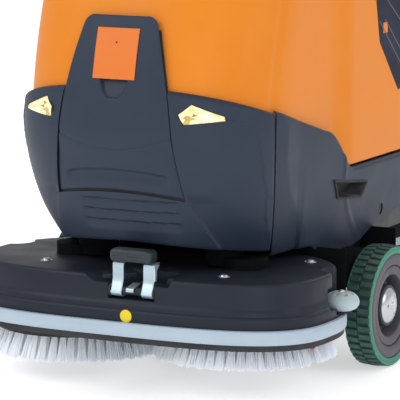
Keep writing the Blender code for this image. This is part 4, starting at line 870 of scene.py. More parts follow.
def sidePoint(station, z, inset):
    kind, value = station
    if kind == "turn":
        return cornerPoint(value, z, inset)
    if kind == "near":
        startY = cornerPoint(math.pi / 2, z, inset)[1]
        along = startY + (coverSize["sideStart"] - startY) * value
        return (sideHalf(along, z) - inset, along, z)
    if kind == "y":
        return (sideHalf(value, z) - inset, value, z)
    corner = body["rear"] - body["rearRadius"]
    half = sideHalf(corner, z) - inset
    rear = body["rear"] - body["rearTuck"] * tuckAt(z) - inset
    if kind == "bend":
        return (half - body["rearRadius"] * (1 - math.cos(value)), rear - (rear - corner) * (1 - math.sin(value)), z)
    return (value, rear, z)


def sideDepth(y, z):
    depth = 0.0
    away, sign = lineGap(y, z, sideSize["crease"])
    depth -= 0.0022 * math.exp(-away / 0.018)
    for bead in ("beadUp", "beadLow"):
        away, sign = lineGap(y, z, sideSize[bead])
        depth -= 0.0028 * math.exp(-(away / 0.0050) ** 2)
    return depth


def buildSideCover(side, name):
    size = sideSize
    stations = sideStations()
    shoulder = [(math.sin(math.radians(a)), 1 - math.cos(math.radians(a))) for a in (15, 30, 45, 60, 75, 88)]
    rows = []
    for level in range(size["rows"] + 1 + len(shoulder)):
        row = []
        for station in stations:
            y = sidePoint(station, body["widestZ"], 0)[1]
            low, high = coverFoot(y), coverTop(y)
            flat = high - size["shoulder"]
            if level <= size["rows"]:
                z, inset = low + (flat - low) * level / size["rows"], 0.0
            else:
                rise, back = shoulder[level - size["rows"] - 1]
                z, inset = flat + size["shoulder"] * rise, size["shoulder"] * back
            foot = 0.003 * (1 - smoothStep(z, low, low + 0.005))
            depth = sideDepth(y, z) if y < 0.6 else 0.0
            x, y, z = sidePoint(station, z, inset + depth + foot)
            row.append((side * x, y, z))
        rows.append(row)
    cover = gridPiece("sideCover" + name, rows)
    if side > 0:
        pickFaces(cover, lambda centre, normal: True)
        bpy.ops.mesh.normals_make_consistent(inside=False)
        bpy.ops.object.mode_set(mode="OBJECT")
    middle = min(cover.data.polygons, key=lambda face: abs(face.center.y - 0.3) + abs(face.center.z - 0.32))
    if middle.normal.x * side < 0:
        pickFaces(cover, lambda centre, normal: True)
        bpy.ops.mesh.flip_normals()
        bpy.ops.object.mode_set(mode="OBJECT")
    walled(cover, size["wall"])
    ends = sorted((side * 0.2, side * 0.4))
    cutWith(cover, outlinePiece("pocketOpening", size["pocket"], "X", *ends))
    oval = []
    for step in range(20):
        turn = 2 * math.pi * step / 20
        oval.append((0.4685 + 0.0105 * math.cos(turn) - 0.0045 * math.sin(turn), 0.298 + 0.0135 * math.sin(turn)))
    cutWith(cover, outlinePiece("ovalOpening", oval, "X", *ends))
    finishPiece(cover, coverLook, "chassis", ("side_cover_" + name.lower(),), 30)
    # The pull pocket's dark tub, with a turned-out rim.
    centreY = sum(y for y, z in size["pocket"]) / 4
    centreZ = sum(z for y, z in size["pocket"]) / 4
    loops = []
    for grow, inset in ((1.05, -0.0012), (1.03, -0.0026), (0.99, -0.0026), (0.955, 0.0), (0.93, 0.016), (0.86, 0.030)):
        loop = []
        for (ay, az), (by, bz) in zip(size["pocket"], size["pocket"][1:] + size["pocket"][:1]):
            for step in range(8):
                y = ay + (by - ay) * step / 8
                z = az + (bz - az) * step / 8
                y, z = centreY + (y - centreY) * grow, centreZ + (z - centreZ) * (1 + (grow - 1) * 2.6)
                loop.append((side * (sideHalf(y, z) - inset), y, z))
        loops.append(loop + loop[:1])
    tub = gridPiece("pullPocket" + name, loops, closed=True)
    activate(tub)
    bpy.ops.object.mode_set(mode="EDIT")
    bpy.ops.mesh.select_all(action="SELECT")
    bpy.ops.mesh.normals_make_consistent(inside=False)
    bpy.ops.object.mode_set(mode="OBJECT")
    deep = min(abs(v.co.x) for v in tub.data.vertices)
    pickFaces(tub, lambda centre, normal: False)
    bpy.ops.object.mode_set(mode="OBJECT")
    activate(tub)
    bpy.ops.object.mode_set(mode="EDIT")
    bpy.ops.mesh.select_mode(type="VERT")
    bpy.ops.mesh.select_all(action="DESELECT")
    bpy.ops.object.mode_set(mode="OBJECT")
    for vertex in tub.data.vertices:
        vertex.select = abs(vertex.co.x) < deep + 0.006
    bpy.ops.object.mode_set(mode="EDIT")
    bpy.ops.mesh.edge_face_add()
    bpy.ops.mesh.select_all(action="SELECT")
    bpy.ops.mesh.normals_make_consistent(inside=False)
    bpy.ops.object.mode_set(mode="OBJECT")
    walled(tub, 0.0015, offset=0)
    finishPiece(tub, rubberLook, "chassis", (), 40)


buildSideCover(1, "Left")
buildSideCover(-1, "Right")

# Tanks

print("tanks")
tankSize = {
    "sideStart": 0.150,
    "inset": 0.0145, "wideHalf": 0.2885, "stepStart": 0.215, "stepEnd": 0.30, "bottom": 0.416, "split": 0.80,
    "top": 0.975, "rear": 0.70, "seamTurn": math.radians(74.5), "seamDepth": 0.0040, "seamWidth": 0.0034,
}


def tankHalf(y):
    narrow = body["half"] - tankSize["inset"]
    return narrow + (tankSize["wideHalf"] - narrow) * smoothStep(y, tankSize["stepStart"], tankSize["stepEnd"])


def tankRing(z, inset, rear):
    half = []
    for step in range(61):
        turn = math.pi / 2 * step / 60
        away = abs(turn - tankSize["seamTurn"]) * 0.09
        groove = tankSize["seamDepth"] * math.exp(-(away / tankSize["seamWidth"]) ** 2)
        half.append(cornerPoint(turn, z, tankSize["inset"] + inset + groove)[:2])
    startY = half[-1][1]
    for step in range(1, 9):
        y = startY + (tankSize["sideStart"] - startY) * step / 8
        half.append((tankHalf(y) - inset, y))
    y = tankSize["sideStart"] + 0.007
    while y < rear - body["rearRadius"] - 0.003:
        half.append((tankHalf(y) - inset, y))
        y += 0.007 if y < 0.32 else 0.03
    half.append((tankHalf(rear) - inset, rear - body["rearRadius"]))
    width = half[-1][0]
    radius = body["rearRadius"] - inset
    for angle in range(9, 91, 9):
        turn = math.radians(angle)
        half.append((width - radius * (1 - math.cos(turn)), rear - body["rearRadius"] + radius * math.sin(turn)))
    back = [(-x, y) for x, y in reversed(half[1:])]
    ring = [(x, y, z) for x, y in half + back]
    return ring + ring[:1]


def buildSolutionTank():
    low, high = tankSize["bottom"], tankSize["split"]
    levels = [(low, 0.004), (low + 0.002, 0.001), (low + 0.006, 0)]
    levels += [(low + 0.006 + (high - low - 0.012) * step / 24, 0) for step in range(1, 24)]
    levels += [(high - 0.006, 0), (high - 0.002, 0.0012), (high, 0.004)]
    tank = gridPiece("solutionTankSkin", [tankRing(z, inset, body["rear"] - 0.01) for z, inset in levels], closed=True)
    closeEnds(tank)
    depth = surfaceY(0, 0.68, tankSize["inset"])
    recess = boxPiece("fillRecess", (-0.060, depth - 0.06, 0.63), (0.060, depth + 0.045, 0.73))
    rounded(recess, 0.012, 3)
    cutWith(tank, recess)
    hollow = boxPiece("batterySpace", (-0.262, 0.10, tankSize["bottom"] - 0.05), (0.262, 0.88, 0.50))
    cutWith(tank, hollow)
    finishPiece(tank, orangeLook, "chassis", ("solution_tank",), 32)


def buildRecoveryTank():
    low, high = tankSize["split"] + 0.002, tankSize["top"]
    levels = [(low, 0.004), (low + 0.003, 0.0005), (low + 0.008, 0)]
    levels += [(low + 0.008 + (high - low - 0.038) * step / 8, 0) for step in range(1, 9)]
    for angle in range(10, 91, 10):
        turn = math.radians(angle)
        levels.append((high - 0.03 + 0.03 * math.sin(turn), 0.024 * (1 - math.cos(turn))))
    tank = gridPiece("recoveryTankSkin", [tankRing(z, inset, tankSize["rear"]) for z, inset in levels], closed=True)
    closeEnds(tank)
    well = boxPiece("dirtyWaterWell", (-0.18, 0.07, 0.812), (0.18, 0.62, 1.0))
    rounded(well, 0.02, 3)
    cutWith(tank, well)
    finishPiece(tank, orangeLook, "chassis", ("recovery_tank",), 32)


buildSolutionTank()
buildRecoveryTank()


# Side labels: dark film with a few plain lines and one orange square

def buildLabel(side, name):
    face = tankSize["wideHalf"]
    outline = (
        (0.404, 0.795), (0.404, 0.748), (0.424, 0.655), (0.520, 0.546), (0.60, 0.556), (0.76, 0.60), (0.80, 0.66),
        (0.80, 0.795)
    )
    ends = sorted((side * (face + 0.0001), side * (face + 0.0008)))
    film = outlinePiece("sideLabel" + name, outline, "X", *ends)
    rounded(film, 0.0003, 1)
    finishPiece(film, labelLook, "chassis")
    strips = []
    for ay, az, by, bz in (
        (0.42, 0.70, 0.56, 0.575), (0.45, 0.70, 0.60, 0.57), (0.46, 0.74, 0.66, 0.60), (0.50, 0.76, 0.72, 0.62)
    ):
        length = math.hypot(by - ay, bz - az)
        across = ((by - ay) / length, (bz - az) / length)
        side4 = (-across[1] * 0.0012, across[0] * 0.0012)
        quad = (
            (ay - side4[0], az - side4[1]), (by - side4[0], bz - side4[1]), (by + side4[0], bz + side4[1]),
            (ay + side4[0], az + side4[1])
        )
        ends = sorted((side * (face + 0.0006), side * (face + 0.0011)))
        strips.append(outlinePiece("labelLine" + name, quad, "X", *ends))
    lines = joinPieces("labelLines" + name, strips)
    finishPiece(lines, labelLineLook, "chassis")
    square = outlinePiece(
        "labelSquare" + name, ((0.440, 0.672), (0.462, 0.672), (0.462, 0.694), (0.440, 0.694)), "X", *ends
    )
    rounded(square, 0.0002, 1)
    finishPiece(square, badgeLook, "chassis")


buildLabel(1, "Left")
buildLabel(-1, "Right")


# Brush deck

print("brush deck")
deck = {
    "half": 0.3725, "front": -0.200, "depth": 0.195, "power": 3.2, "rear": 0.185, "rearBend": 0.18, "top": 0.243,
    "ledgeOut": 0.010, "spacing": 0.189, "brushRadius": 0.186,
    "profile": (
        (0.127, 0.0085), (0.129, 0.010), (0.170, 0.010), (0.1745, 0.0095), (0.178, 0.0075), (0.1795, 0.005),
        (0.1815, 0.0045), (0.186, 0.0042), (0.190, 0.0025), (0.193, 0.0005), (0.197, 0.0), (0.236, 0.0),
        (0.2395, -0.001), (0.242, -0.0035), (0.243, -0.007),
    ),
    "strip": (
        (0.127, 0.0125), (0.1275, 0.0195), (0.130, 0.0218), (0.141, 0.0226), (0.152, 0.0218), (0.1545, 0.0195),
        (0.155, 0.0125), (0.153, 0.0103), (0.129, 0.0103)
    ),
    "lip": ((0.115, 0.0105), (0.115, 0.0155), (0.1165, 0.017), (0.1262, 0.017), (0.1267, 0.012), (0.1262, 0.0102)),
}
pedal = {"x": 0.040, "half": 0.046, "pinZ": 0.213, "y": -0.188, "strap": 0.024, "top": 0.268}


def deckHalfRing(out, stations=60, lastBend=90):
    half = []
    for step in range(stations + 1):
        turn = math.pi / 2 * step / stations
        across = math.sin(turn) ** (2 / deck["power"])
        along = max(math.cos(turn), 0) ** (2 / deck["power"])
        half.append(((deck["half"] + out) * across, deck["front"] - out + (deck["depth"] + out) * (1 - along)))
    startY = half[-1][1]
    rear = deck["rear"] - 0.005
    for angle in range(5, lastBend + 1, 5):
        turn = math.radians(angle)
        half.append(
            (deck["half"] + out - deck["rearBend"] * (1 - math.cos(turn)), startY + (rear - startY) * math.sin(turn))
        )
    return half


def deckRing(z, out):
    half = deckHalfRing(out)
    ring = [(x, y, z) for x, y in half] + [(-x, y, z) for x, y in reversed(half[1:])]
    return ring + ring[:1]


def deckFrontY(x, out):
    share = min(abs(x) / (deck["half"] + out), 1) ** deck["power"]
    return deck["front"] - out + (deck["depth"] + out) * (1 - (1 - share) ** (1 / deck["power"]))


def postPiece(name, x, y, low, high, radius, vertices=48):
    place = (x, y, (low + high) / 2)
    return newPiece(
        name, bpy.ops.mesh.primitive_cylinder_add, vertices=vertices, radius=radius, depth=high - low, location=place
    )


def buildDeck():
    shell = gridPiece("brushDeckShell", [deckRing(z, out) for z, out in deck["profile"]], closed=True)
    closeEnds(shell)
    for side in (1, -1):
        x = side * deck["spacing"]
        wide = deck["brushRadius"] - 0.008
        cutWith(shell, postPiece("well", x, 0, 0.07, 0.168, wide, 64))
        cutWith(shell, postPiece("well", x, 0, 0.07, 0.235, wide - 0.026, 64))
        cutWith(shell, postPiece("well", x, 0, 0.07, 0.30, 0.032))
        cutWith(shell, postPiece("rollerNotch", side * 0.373, 0.058, 0.158, 0.25, 0.040))
        cutWith(shell, postPiece("rollerNotch", side * 0.395, 0.033, 0.172, 0.214, 0.045))
        ear = boxPiece("ear", (side * 0.125 - 0.02, 0.086, 0.239), (side * 0.125 - 0.0075, 0.114, 0.282))
        rounded(ear, 0.005, 3)
        cutWith(shell, ear, "UNION")
    # The hollow round the pedal: a long ramp on one side, a short one on the other.
    hollow = outlinePiece(
        "hollow", ((-0.135, -0.24), (0.156, -0.24), (0.118, -0.118), (-0.030, -0.118)), "Z", 0.2275, 0.262
    )
    for vertex in hollow.data.vertices:
        if vertex.co.z < 0.23:
            vertex.co.x += 0.058 if vertex.co.x < 0 else -0.022
    cutWith(shell, hollow)
    x, half = pedal["x"], pedal["half"] + 0.006
    cutWith(shell, boxPiece("pocket", (x - half, -0.23, 0.197), (x + half, -0.160, 0.263)))
    rounded(shell, 0.0012, 2, 50)
    finishPiece(shell, deckLook, "deck", ("deck_housing",), 32)
    ribs = []
    for step in range(4):
        rib = boxPiece("rib", (-0.0016, -0.034, 0.225), (0.0016, 0.034, 0.2415 - 0.0005 * step))
        rib.data.transform(
            Matrix.Translation((-0.062 + 0.018 * step, -0.158, 0)) @ Matrix.Rotation(math.radians(-52), 4, "Z")
        )
        ribs.append(rib)
    wedge = outlinePiece(
        "rib", ((0.100, 0.2275), (0.137, 0.2275), (0.118, 0.2405), (0.106, 0.2405)), "Y", -0.170, -0.150
    )
    ribs.append(wedge)
    fins = joinPieces("pedalHollowRibs", ribs)
    rounded(fins, 0.0008, 2, 40)
    finishPiece(fins, deckLook, "deck")


def sweepPiece(name, profile, look, replaced):
    rows = []
    for z, out in profile + profile[:1]:
        half = [(x, y, z) for x, y in deckHalfRing(out, 70, 45)]
        rows.append([(-x, y, z) for x, y, z in reversed(half[1:])] + half)
    strip = gridPiece(name, rows, closed=True)
    closeEnds(strip)
    finishPiece(strip, look, "deck", replaced, 40)


buildDeck()
sweepPiece("bumperStrip", deck["strip"], stripLook, ("deck_bumper",))
sweepPiece("splashLip", deck["lip"], rubberLook, ("splash_skirt",))
dot = lathe("yellowMarker", [(0, 0.0006), (0.0120, 0.0006), (0.0128, 0.0), (0.0128, -0.001), (0, -0.001)], 40,
            (0.034, deckFrontY(0.034, deck["ledgeOut"]) - 0.0004, 0.1665), "Y")
finishPiece(dot, yellowLook, "deck")


def buildDeckScrews():
    number = 0
    for side in (1, -1):
        for x, y in ((0.200, -0.114), (0.281, 0.108)):
            number += 1
            profile = [(0, 0.0052), (0.004, 0.0050), (0.0072, 0.0036), (0.0086, 0.0012), (0.0086, 0.0003),
                (0.0112, 0.0003),
                       (0.0118, 0.0009), (0.0124, 0.0003), (0.0124, 0.0001), (0, 0.0001)]
            screw = lathe(f"deckScrewHead{number}", profile, 32, (side * x, y, deck["top"]))
            socket = newPiece("socket", bpy.ops.mesh.primitive_cylinder_add, vertices=6, radius=0.0026, depth=0.006,
                              location=(side * x, y, deck["top"] + 0.006))
            cutWith(screw, socket)
            finishPiece(screw, machinedLook, "deck", (f"deck_screw_{number}",), 30)


buildDeckScrews()

# Brushes, tuft by tuft

print("brushes")
brush = {
    "length": 0.0517, "tipZ": {"left": 0.0685, "right": 0.0475}, "fibres": 16, "fibreRoot": 0.0012, "fibreTip": 0.0017,
    "rings": (
        (0.158, 0.1795, 54), (0.146, 0.163, 50), (0.130, 0.142, 44), (0.112, 0.120, 38), (0.094, 0.098, 30),
        (0.077, 0.079, 24)
    ),
    "redAngle": 348,
}
draw = random.Random(7)


def buildTuft(name):
    fibres = []
    for step in range(brush["fibres"]):
        angle = 2.4 * step
        spread = math.sqrt((step + 0.5) / brush["fibres"])
        fibre = newPiece("fibre", bpy.ops.mesh.primitive_cone_add, vertices=3, radius1=brush["fibreTip"],
            radius2=brush["fibreRoot"], depth=1,
                         end_fill_type="NGON", location=(0, 0, 0.5))
        short = draw.uniform(0.0, 0.11)
        lean = draw.uniform(-0.0012, 0.0012)
        for vertex in fibre.data.vertices:
            tip = vertex.co.z < 0.5
            wide = 0.0096 if tip else 0.0052
            deep = 0.0060 if tip else 0.0035
            vertex.co.x += math.cos(angle) * spread * deep + (lean if tip else 0)
            vertex.co.y += math.sin(angle) * spread * wide + (lean if tip else 0)
            vertex.co.z = (short if tip else 1.0)
        fibre.data.transform(Matrix.Diagonal((1, 1, brush["length"], 1)))
        fibres.append(fibre)
    return joinPieces(name, fibres)


def buildBrush(side, name):
    x0 = side * deck["spacing"]
    low = brush["tipZ"][name.lower()]
    kinds = [buildTuft(f"tuft{kind}") for kind in range(4)]
    tufts = []
    number = 0
    for rootRadius, tipRadius, count in brush["rings"]:
        for step in range(count):
            angle = 2 * math.pi * (step + 0.5 * (number % 2)) / count
            flare = (tipRadius - rootRadius) / brush["length"]
            shear = Matrix.Identity(4)
            shear[0][2] = -flare
            shear[0][3] = tipRadius
            wobble = Matrix.Rotation(draw.uniform(-0.02, 0.02), 4, "Z")
            tall = draw.uniform(0.965, 1.0)
            scale = Matrix.Translation((0, 0, brush["length"] * (1 - tall))) @ Matrix.Diagonal(
                (1, draw.uniform(0.92, 1.08), tall, 1)
            )
            matrix = Matrix.Translation((x0, 0, low)) @ Matrix.Rotation(angle, 4, "Z") @ wobble @ shear @ scale
            outer = rootRadius == brush["rings"][0][0]
            near = abs(angle - math.radians(brush["redAngle"])) < math.radians(3.4)
            red = name == "Left" and outer and near
            if red:
                matrix = matrix @ Matrix.Translation((0.003, 0, 0.62 * brush["length"])) @ Matrix.Diagonal((1, 1,
                    0.36, 1))
            tuft = copyOf(kinds[step % 4], matrix, "tuftCopy")
            setLook(tuft, redBristleLook if red else bristleLook)
            tufts.append(tuft)
    for kind in kinds:
        bpy.data.objects.remove(kind)
    reds = [t for t in tufts if t.data.materials[0] == redBristleLook]
    for tuft in reds[1:]:
        setLook(tuft, bristleLook)
    ring = joinPieces("brushTufts" + name, tufts)
    finishPiece(ring, None, "brush_" + name.lower(), ("bristles_" + name.lower(),), 20)


buildBrush(1, "Left")
buildBrush(-1, "Right")

# Deflector rollers


def buildRoller(side, name):
    profile = [(0, 0.0378), (0.010, 0.0376), (0.018, 0.0368), (0.026, 0.0335), (0.0325, 0.0275), (0.0355, 0.0205),
               (0.0358, 0.0165), (0.0345, 0.0105), (0.030, 0.0045), (0.022, 0.0008), (0.0, 0.0)]
    place = (side * 0.373, 0.058, 0.162)
    roller = lathe("deflectorRoller" + name, profile, 48)
    for step in range(8):
        angle = math.pi / 4 * step
        slotBox = boxPiece("slot", (0.0175, -0.0042, 0.029), (0.0265, 0.0042, 0.05))
        slotBox.data.transform(Matrix.Rotation(angle, 4, "Z"))
        cutWith(roller, slotBox)
    rounded(roller, 0.0007, 2, 50)
    roller.data.transform(Matrix.Translation(place))
    finishPiece(roller, rollerLook, "roller_" + name.lower(), ("deflector_roller_" + name.lower(),), 35)
    foot = lathe("rollerBracket" + name, [(0, 0.0038), (0.017, 0.0038), (0.020, 0.001), (0.020, 0.0), (0, 0.0)], 32,
                 (side * 0.373, 0.058, 0.1581))
    finishPiece(foot, rubberLook, "deck")
    pin = lathe("rollerBolt" + name, [(0, 0.0035), (0.0035, 0.0033), (0.0062, 0.0018), (0.0066, 0.0), (0, 0.0)], 24,
                (side * 0.373, 0.058, 0.1995))
    finishPiece(pin, machinedLook, "roller_" + name.lower())


buildRoller(1, "Left")
buildRoller(-1, "Right")

# Foot pedal

print("pedal")


def buildPedal():
    x, y, half = pedal["x"], pedal["y"], pedal["half"]
    straps = []
    for side in (1, -1):
        near, far = x + side * (half - pedal["strap"]), x + side * half
        low, high = min(near, far), max(near, far)
        # From under the pad, down the face, then round the pin.
        path = [(0.022, pedal["top"] + 0.001), (0.006, pedal["top"] + 0.001), (0.001, pedal["top"] - 0.002),
            (0.0, pedal["top"] - 0.007),
                (0.0, 0.236), (-0.0035, 0.226)]
        for angle in range(195, 400, 24):
            turn = math.radians(angle)
            path.append((0.0108 * math.cos(turn), pedal["pinZ"] + 0.0108 * math.sin(turn)))
        rows = []
        for py, pz in path:
            rows.append([(low + (high - low) * step / 6, y + py, pz) for step in range(7)])
        strap = gridPiece("strap", rows)
        walled(strap, 0.0026, offset=0)
        rounded(strap, 0.0005, 2, 50)
        straps.append(strap)
    rows = []
    for step in range(13):
        z = 0.236 + (pedal["top"] - 0.236) * step / 12
        bulge = 0.010 * smoothStep(step / 12, 0.55, 1.0)
        rows.append([(x + half - 0.0008, y, z), (x + half + 0.0016, y - 0.0006 - bulge * 0.1, z),
            (x + half + 0.0022, y + 0.004 + bulge, z)])
    flange = gridPiece("strap", rows)
    walled(flange, 0.0020, offset=0)
    straps.append(flange)
    strapSet = joinPieces("pedalStraps", straps)
    finishPiece(strapSet, steelLook, "pedal", ("pedal_straps",), 40)

    pad = boxPiece(
        "pedalPadRubber", (x - half - 0.002, y - 0.014, pedal["top"] + 0.0025),
        (x + half - 0.002, y + 0.022, pedal["top"] + 0.028)
    )
    rounded(pad, 0.0085, 5, 30)
    for step in range(6):
        groove = boxPiece("groove", (x - half + 0.010, y - 0.012 + 0.0062 * step, pedal["top"] + 0.0262),
                          (x + half - 0.014, y - 0.0095 + 0.0062 * step, pedal["top"] + 0.04))
        cutWith(pad, groove)
    for step in range(3):
        groove = boxPiece("groove", (x - half + 0.008, y - 0.03, pedal["top"] + 0.0085 + 0.006 * step),
                          (x + half - 0.012, y - 0.0128, pedal["top"] + 0.0100 + 0.006 * step))
        cutWith(pad, groove)
    rounded(pad, 0.0005, 1, 50)
    finishPiece(pad, padLook, "pedal", ("pedal_pad",), 40)

    profile = [(0, -0.0525), (0.0062, -0.0525), (0.0078, -0.0510), (0.0078, 0.0510), (0.0062, 0.0525), (0, 0.0525)]
    pin = lathe("pedalPinSleeve", profile, 32, (x, y, pedal["pinZ"]), "X")
    finishPiece(pin, rubberLook, "deck", ("pedal_pin",), 35)
    cheeks = []
    for side in (1, -1):
        cheek = lathe("cheek",
            [(0, -0.0022), (0.0125, -0.0022), (0.0135, -0.0012), (0.0135, 0.0012), (0.0125, 0.0022), (0, 0.0022)], 32,
                      (x + side * 0.0492, y, pedal["pinZ"]), "X")
        cheeks.append(cheek)
    caps = joinPieces("pedalPinCaps", cheeks)
    finishPiece(caps, rubberLook, "deck")
    tongueRows = []
    for py, pz in (
        (0.016, 0.226), (0.006, 0.2235), (-0.004, 0.2215), (-0.0115, 0.219), (-0.0125, 0.2165), (-0.0125, 0.2125)
    ):
        tongueRows.append([(x - 0.0105 + 0.0165 * step / 4, y + py, pz) for step in range(5)])
    tongue = gridPiece("pedalTongue", tongueRows)
    walled(tongue, 0.0018, offset=0)
    rounded(tongue, 0.0004, 1, 50)
    finishPiece(tongue, steelLook, "deck")


buildPedal()

# Drive wheels

print("drive wheels")
wheel = {"x": 0.347, "y": 0.311, "radius": 0.126, "half": 0.029, "rim": 0.108, "blocks": 42, "blockDeep": 0.0062}


def buildDriveWheel(side, name):
    centre = (side * wheel["x"], wheel["y"], wheel["radius"])
    half, rim = wheel["half"], wheel["rim"]
    floorRadius = wheel["radius"] - wheel["blockDeep"]
    profile = [(rim, -half + 0.002), (rim + 0.004, -half + 0.0004), (rim + 0.0085, -half + 0.0004),
        (floorRadius, -half + 0.004),
               (floorRadius, half - 0.004), (rim + 0.0085, half - 0.0004), (rim + 0.004, half - 0.0004),
               (rim, half - 0.002),
               (rim, -half + 0.002)]
    carcass = lathe("carcass", profile, 84)
    setLook(carcass, treadLook)
    carcass.data.materials.append(sidewallLook)
    for face in carcass.data.polygons:
        face.material_index = 1 if abs(face.center.z) > half - 0.0042 else 0
    pitch = 2 * math.pi / wheel["blocks"]
    blocks = []
    for row in (1, -1):
        low, high = (0.0012, half - 0.0012) if row > 0 else (-half + 0.0012, -0.0012)
        block = boxPiece("block", (floorRadius - 0.0015, -0.0057, low), (wheel["radius"] - 0.0001, 0.0057, high))
        for vertex in block.data.vertices:
            if vertex.co.x > floorRadius and abs(vertex.co.z) > 0.02:
                vertex.co.x -= 0.0022
            vertex.co.y += 0.0018 * (vertex.co.z / half)
        rounded(block, 0.0011, 1)
        setLook(block, treadLook)
        for step in range(wheel["blocks"]):
            angle = pitch * (step + (0.5 if row < 0 else 0))
            blocks.append(copyOf(block, Matrix.Rotation(angle, 4, "Z"), "blockCopy"))
        bpy.data.objects.remove(block)
    # A raised band where the tread meets the side.
    band = lathe("band",
        [(rim + 0.0075, half - 0.0032), (rim + 0.0095, half - 0.0002), (floorRadius + 0.0022, half - 0.0012),
                          (floorRadius + 0.0026, half - 0.0032), (rim + 0.0075, half - 0.0032)], 84)
    setLook(band, sidewallLook)
    inner = lathe("band",
        [(rim + 0.0075, -half + 0.0032), (rim + 0.0095, -half + 0.0002), (floorRadius + 0.0022, -half + 0.0012),
                           (floorRadius + 0.0026, -half + 0.0032), (rim + 0.0075, -half + 0.0032)], 84)
    setLook(inner, sidewallLook)
    tyre = joinPieces("driveTyre" + name, [carcass, band, inner] + blocks)
    tyre.data.transform(Matrix.Translation(centre) @ Matrix.Rotation(side * math.pi / 2, 4, "Y"))
    finishPiece(tyre, None, "drive_wheel_" + name.lower(), ("tyre_" + name.lower(),), 30)

    hubProfile = [(0.0, half - 0.012), (0.040, half - 0.012), (0.0425, half - 0.014), (0.0440, half - 0.036),
        (0.0500, half - 0.040),
                  (0.0580, half - 0.036), (0.0640, half - 0.010), (0.0655, half - 0.0075), (0.0815, half - 0.0062), (
                      0.0822, half - 0.0085
                  ),
                  (0.0838, half - 0.0085), (0.0845, half - 0.0050), (0.0860, half - 0.0042), (0.1040, half - 0.0020), (
                      0.1068, half - 0.0030
                  ),
                  (0.1077, half - 0.0050), (0.1077, -half + 0.003), (0.1050, -half + 0.0015), (0.060, -half + 0.0015), (
                      0.052, -half + 0.018
                  ),
                  (0.0, -half + 0.018)]
    hub = lathe("wheelHub" + name, hubProfile, 72)
    rounded(hub, 0.0006, 2, 30)
    setLook(hub, rimLook)
    hub.data.materials.append(bowlLook)
    for face in hub.data.polygons:
        radius = math.hypot(face.center.x, face.center.y)
        bowl = radius < 0.0645 or 0.0818 < radius < 0.0843
        face.material_index = 1 if bowl and face.center.z > -0.015 else 0
    hub.data.transform(Matrix.Translation(centre) @ Matrix.Rotation(side * math.pi / 2, 4, "Y"))
    finishPiece(hub, None, "drive_wheel_" + name.lower(), ("hub_" + name.lower(),), 35)
    capProfile = [(0, half - 0.0015), (0.007, half - 0.0018), (0.0085, half - 0.0032), (0.018, half - 0.0040),
        (0.028, half - 0.0062),
                  (0.0345, half - 0.0095), (0.0375, half - 0.0135), (0.0375, half - 0.0150), (0, half - 0.0150)]
    cap = lathe("hubCap" + name, capProfile, 56)
    for step in range(3):
        angle = 2 * math.pi * step / 3 + 0.4
        dimple = newPiece("dimple", bpy.ops.mesh.primitive_cylinder_add, vertices=20, radius=0.0032, depth=0.01,
                          location=(0.020 * math.cos(angle), 0.020 * math.sin(angle), half - 0.001))
        cutWith(cap, dimple)
    rounded(cap, 0.0004, 2, 40)
    cap.data.transform(Matrix.Translation(centre) @ Matrix.Rotation(side * math.pi / 2, 4, "Y"))
    finishPiece(cap, machinedLook, "drive_wheel_" + name.lower(), (), 35)


buildDriveWheel(1, "Left")
buildDriveWheel(-1, "Right")


# Plates in the painted-shade black that close off the underside, in front of and behind the wheels, so the gap there
# reads as shadow.
def buildGuardShadePlates():
    plates = []
    for side in (1, -1):
        for near, low, high in ((0.203, 0.095, 0.256), (0.452, 0.125, 0.262)):
            ends = sorted((side * 0.140, side * 0.3155))
            plates.append(boxPiece("plate", (ends[0], near, low), (ends[1], near + 0.004, high)))
    plates = joinPieces("guardShadePlates", plates)
    rounded(plates, 0.0012, 2)
    finishPiece(plates, shadeBlackLook, "chassis", (), 35)


buildGuardShadePlates()


# Suction hose

print("rear and top")
squeegee = {"pivotY": 0.80, "pivotZ": 0.125, "raise": math.radians(9), "reach": 0.235, "half": 0.41, "bow": 0.07,
    "depth": 0.05,
            "thick": 0.012, "plateTop": -0.0674, "neckX": 0.075, "neckTop": -0.0124, "drop": 0.045}


def squeegeePlace(x, y, z):
    c, s = math.cos(squeegee["raise"]), math.sin(squeegee["raise"])
    return (x, squeegee["pivotY"] + y * c - z * s, squeegee["pivotZ"] + y * s + z * c)


def hoseLine():
    neck = squeegee["neckTop"]
    knots = [squeegeePlace(squeegee["neckX"], squeegee["reach"], neck + rise) for rise in (0.002, 0.030, 0.080)]
    knots += [(0.068, 1.017, 0.32), (0.058, 1.015, 0.44), (0.052, 1.010, 0.56), (0.05, 0.992, 0.64),
        (0.05, 0.965, 0.678),
              (0.05, 0.942, 0.69), (0.05, 0.9215, 0.69)]
    knots = [Vector(knot) for knot in knots]
    ends = [knots[0] * 2 - knots[1], *knots, knots[-1] * 2 - knots[-2]]
    line = []
    for index in range(1, len(ends) - 2):
        a, b, c, d = ends[index - 1:index + 3]
        for step in range(12):
            t = step / 12
            line.append(
                0.5 * (2 * b + (c - a) * t + (2 * a - 5 * b + 4 * c - d) * t * t + (3 * b - a - 3 * c + d) * t ** 3)
            )
    line.append(knots[-1])
    return line


def evenLine(line, gap):
    spots, left = [line[0]], gap
    for start, end in zip(line, line[1:]):
        span, done = (end - start).length, 0.0
        while span - done >= left:
            done += left
            spots.append(start.lerp(end, done / span))
            left = gap
        left -= span - done
    return spots


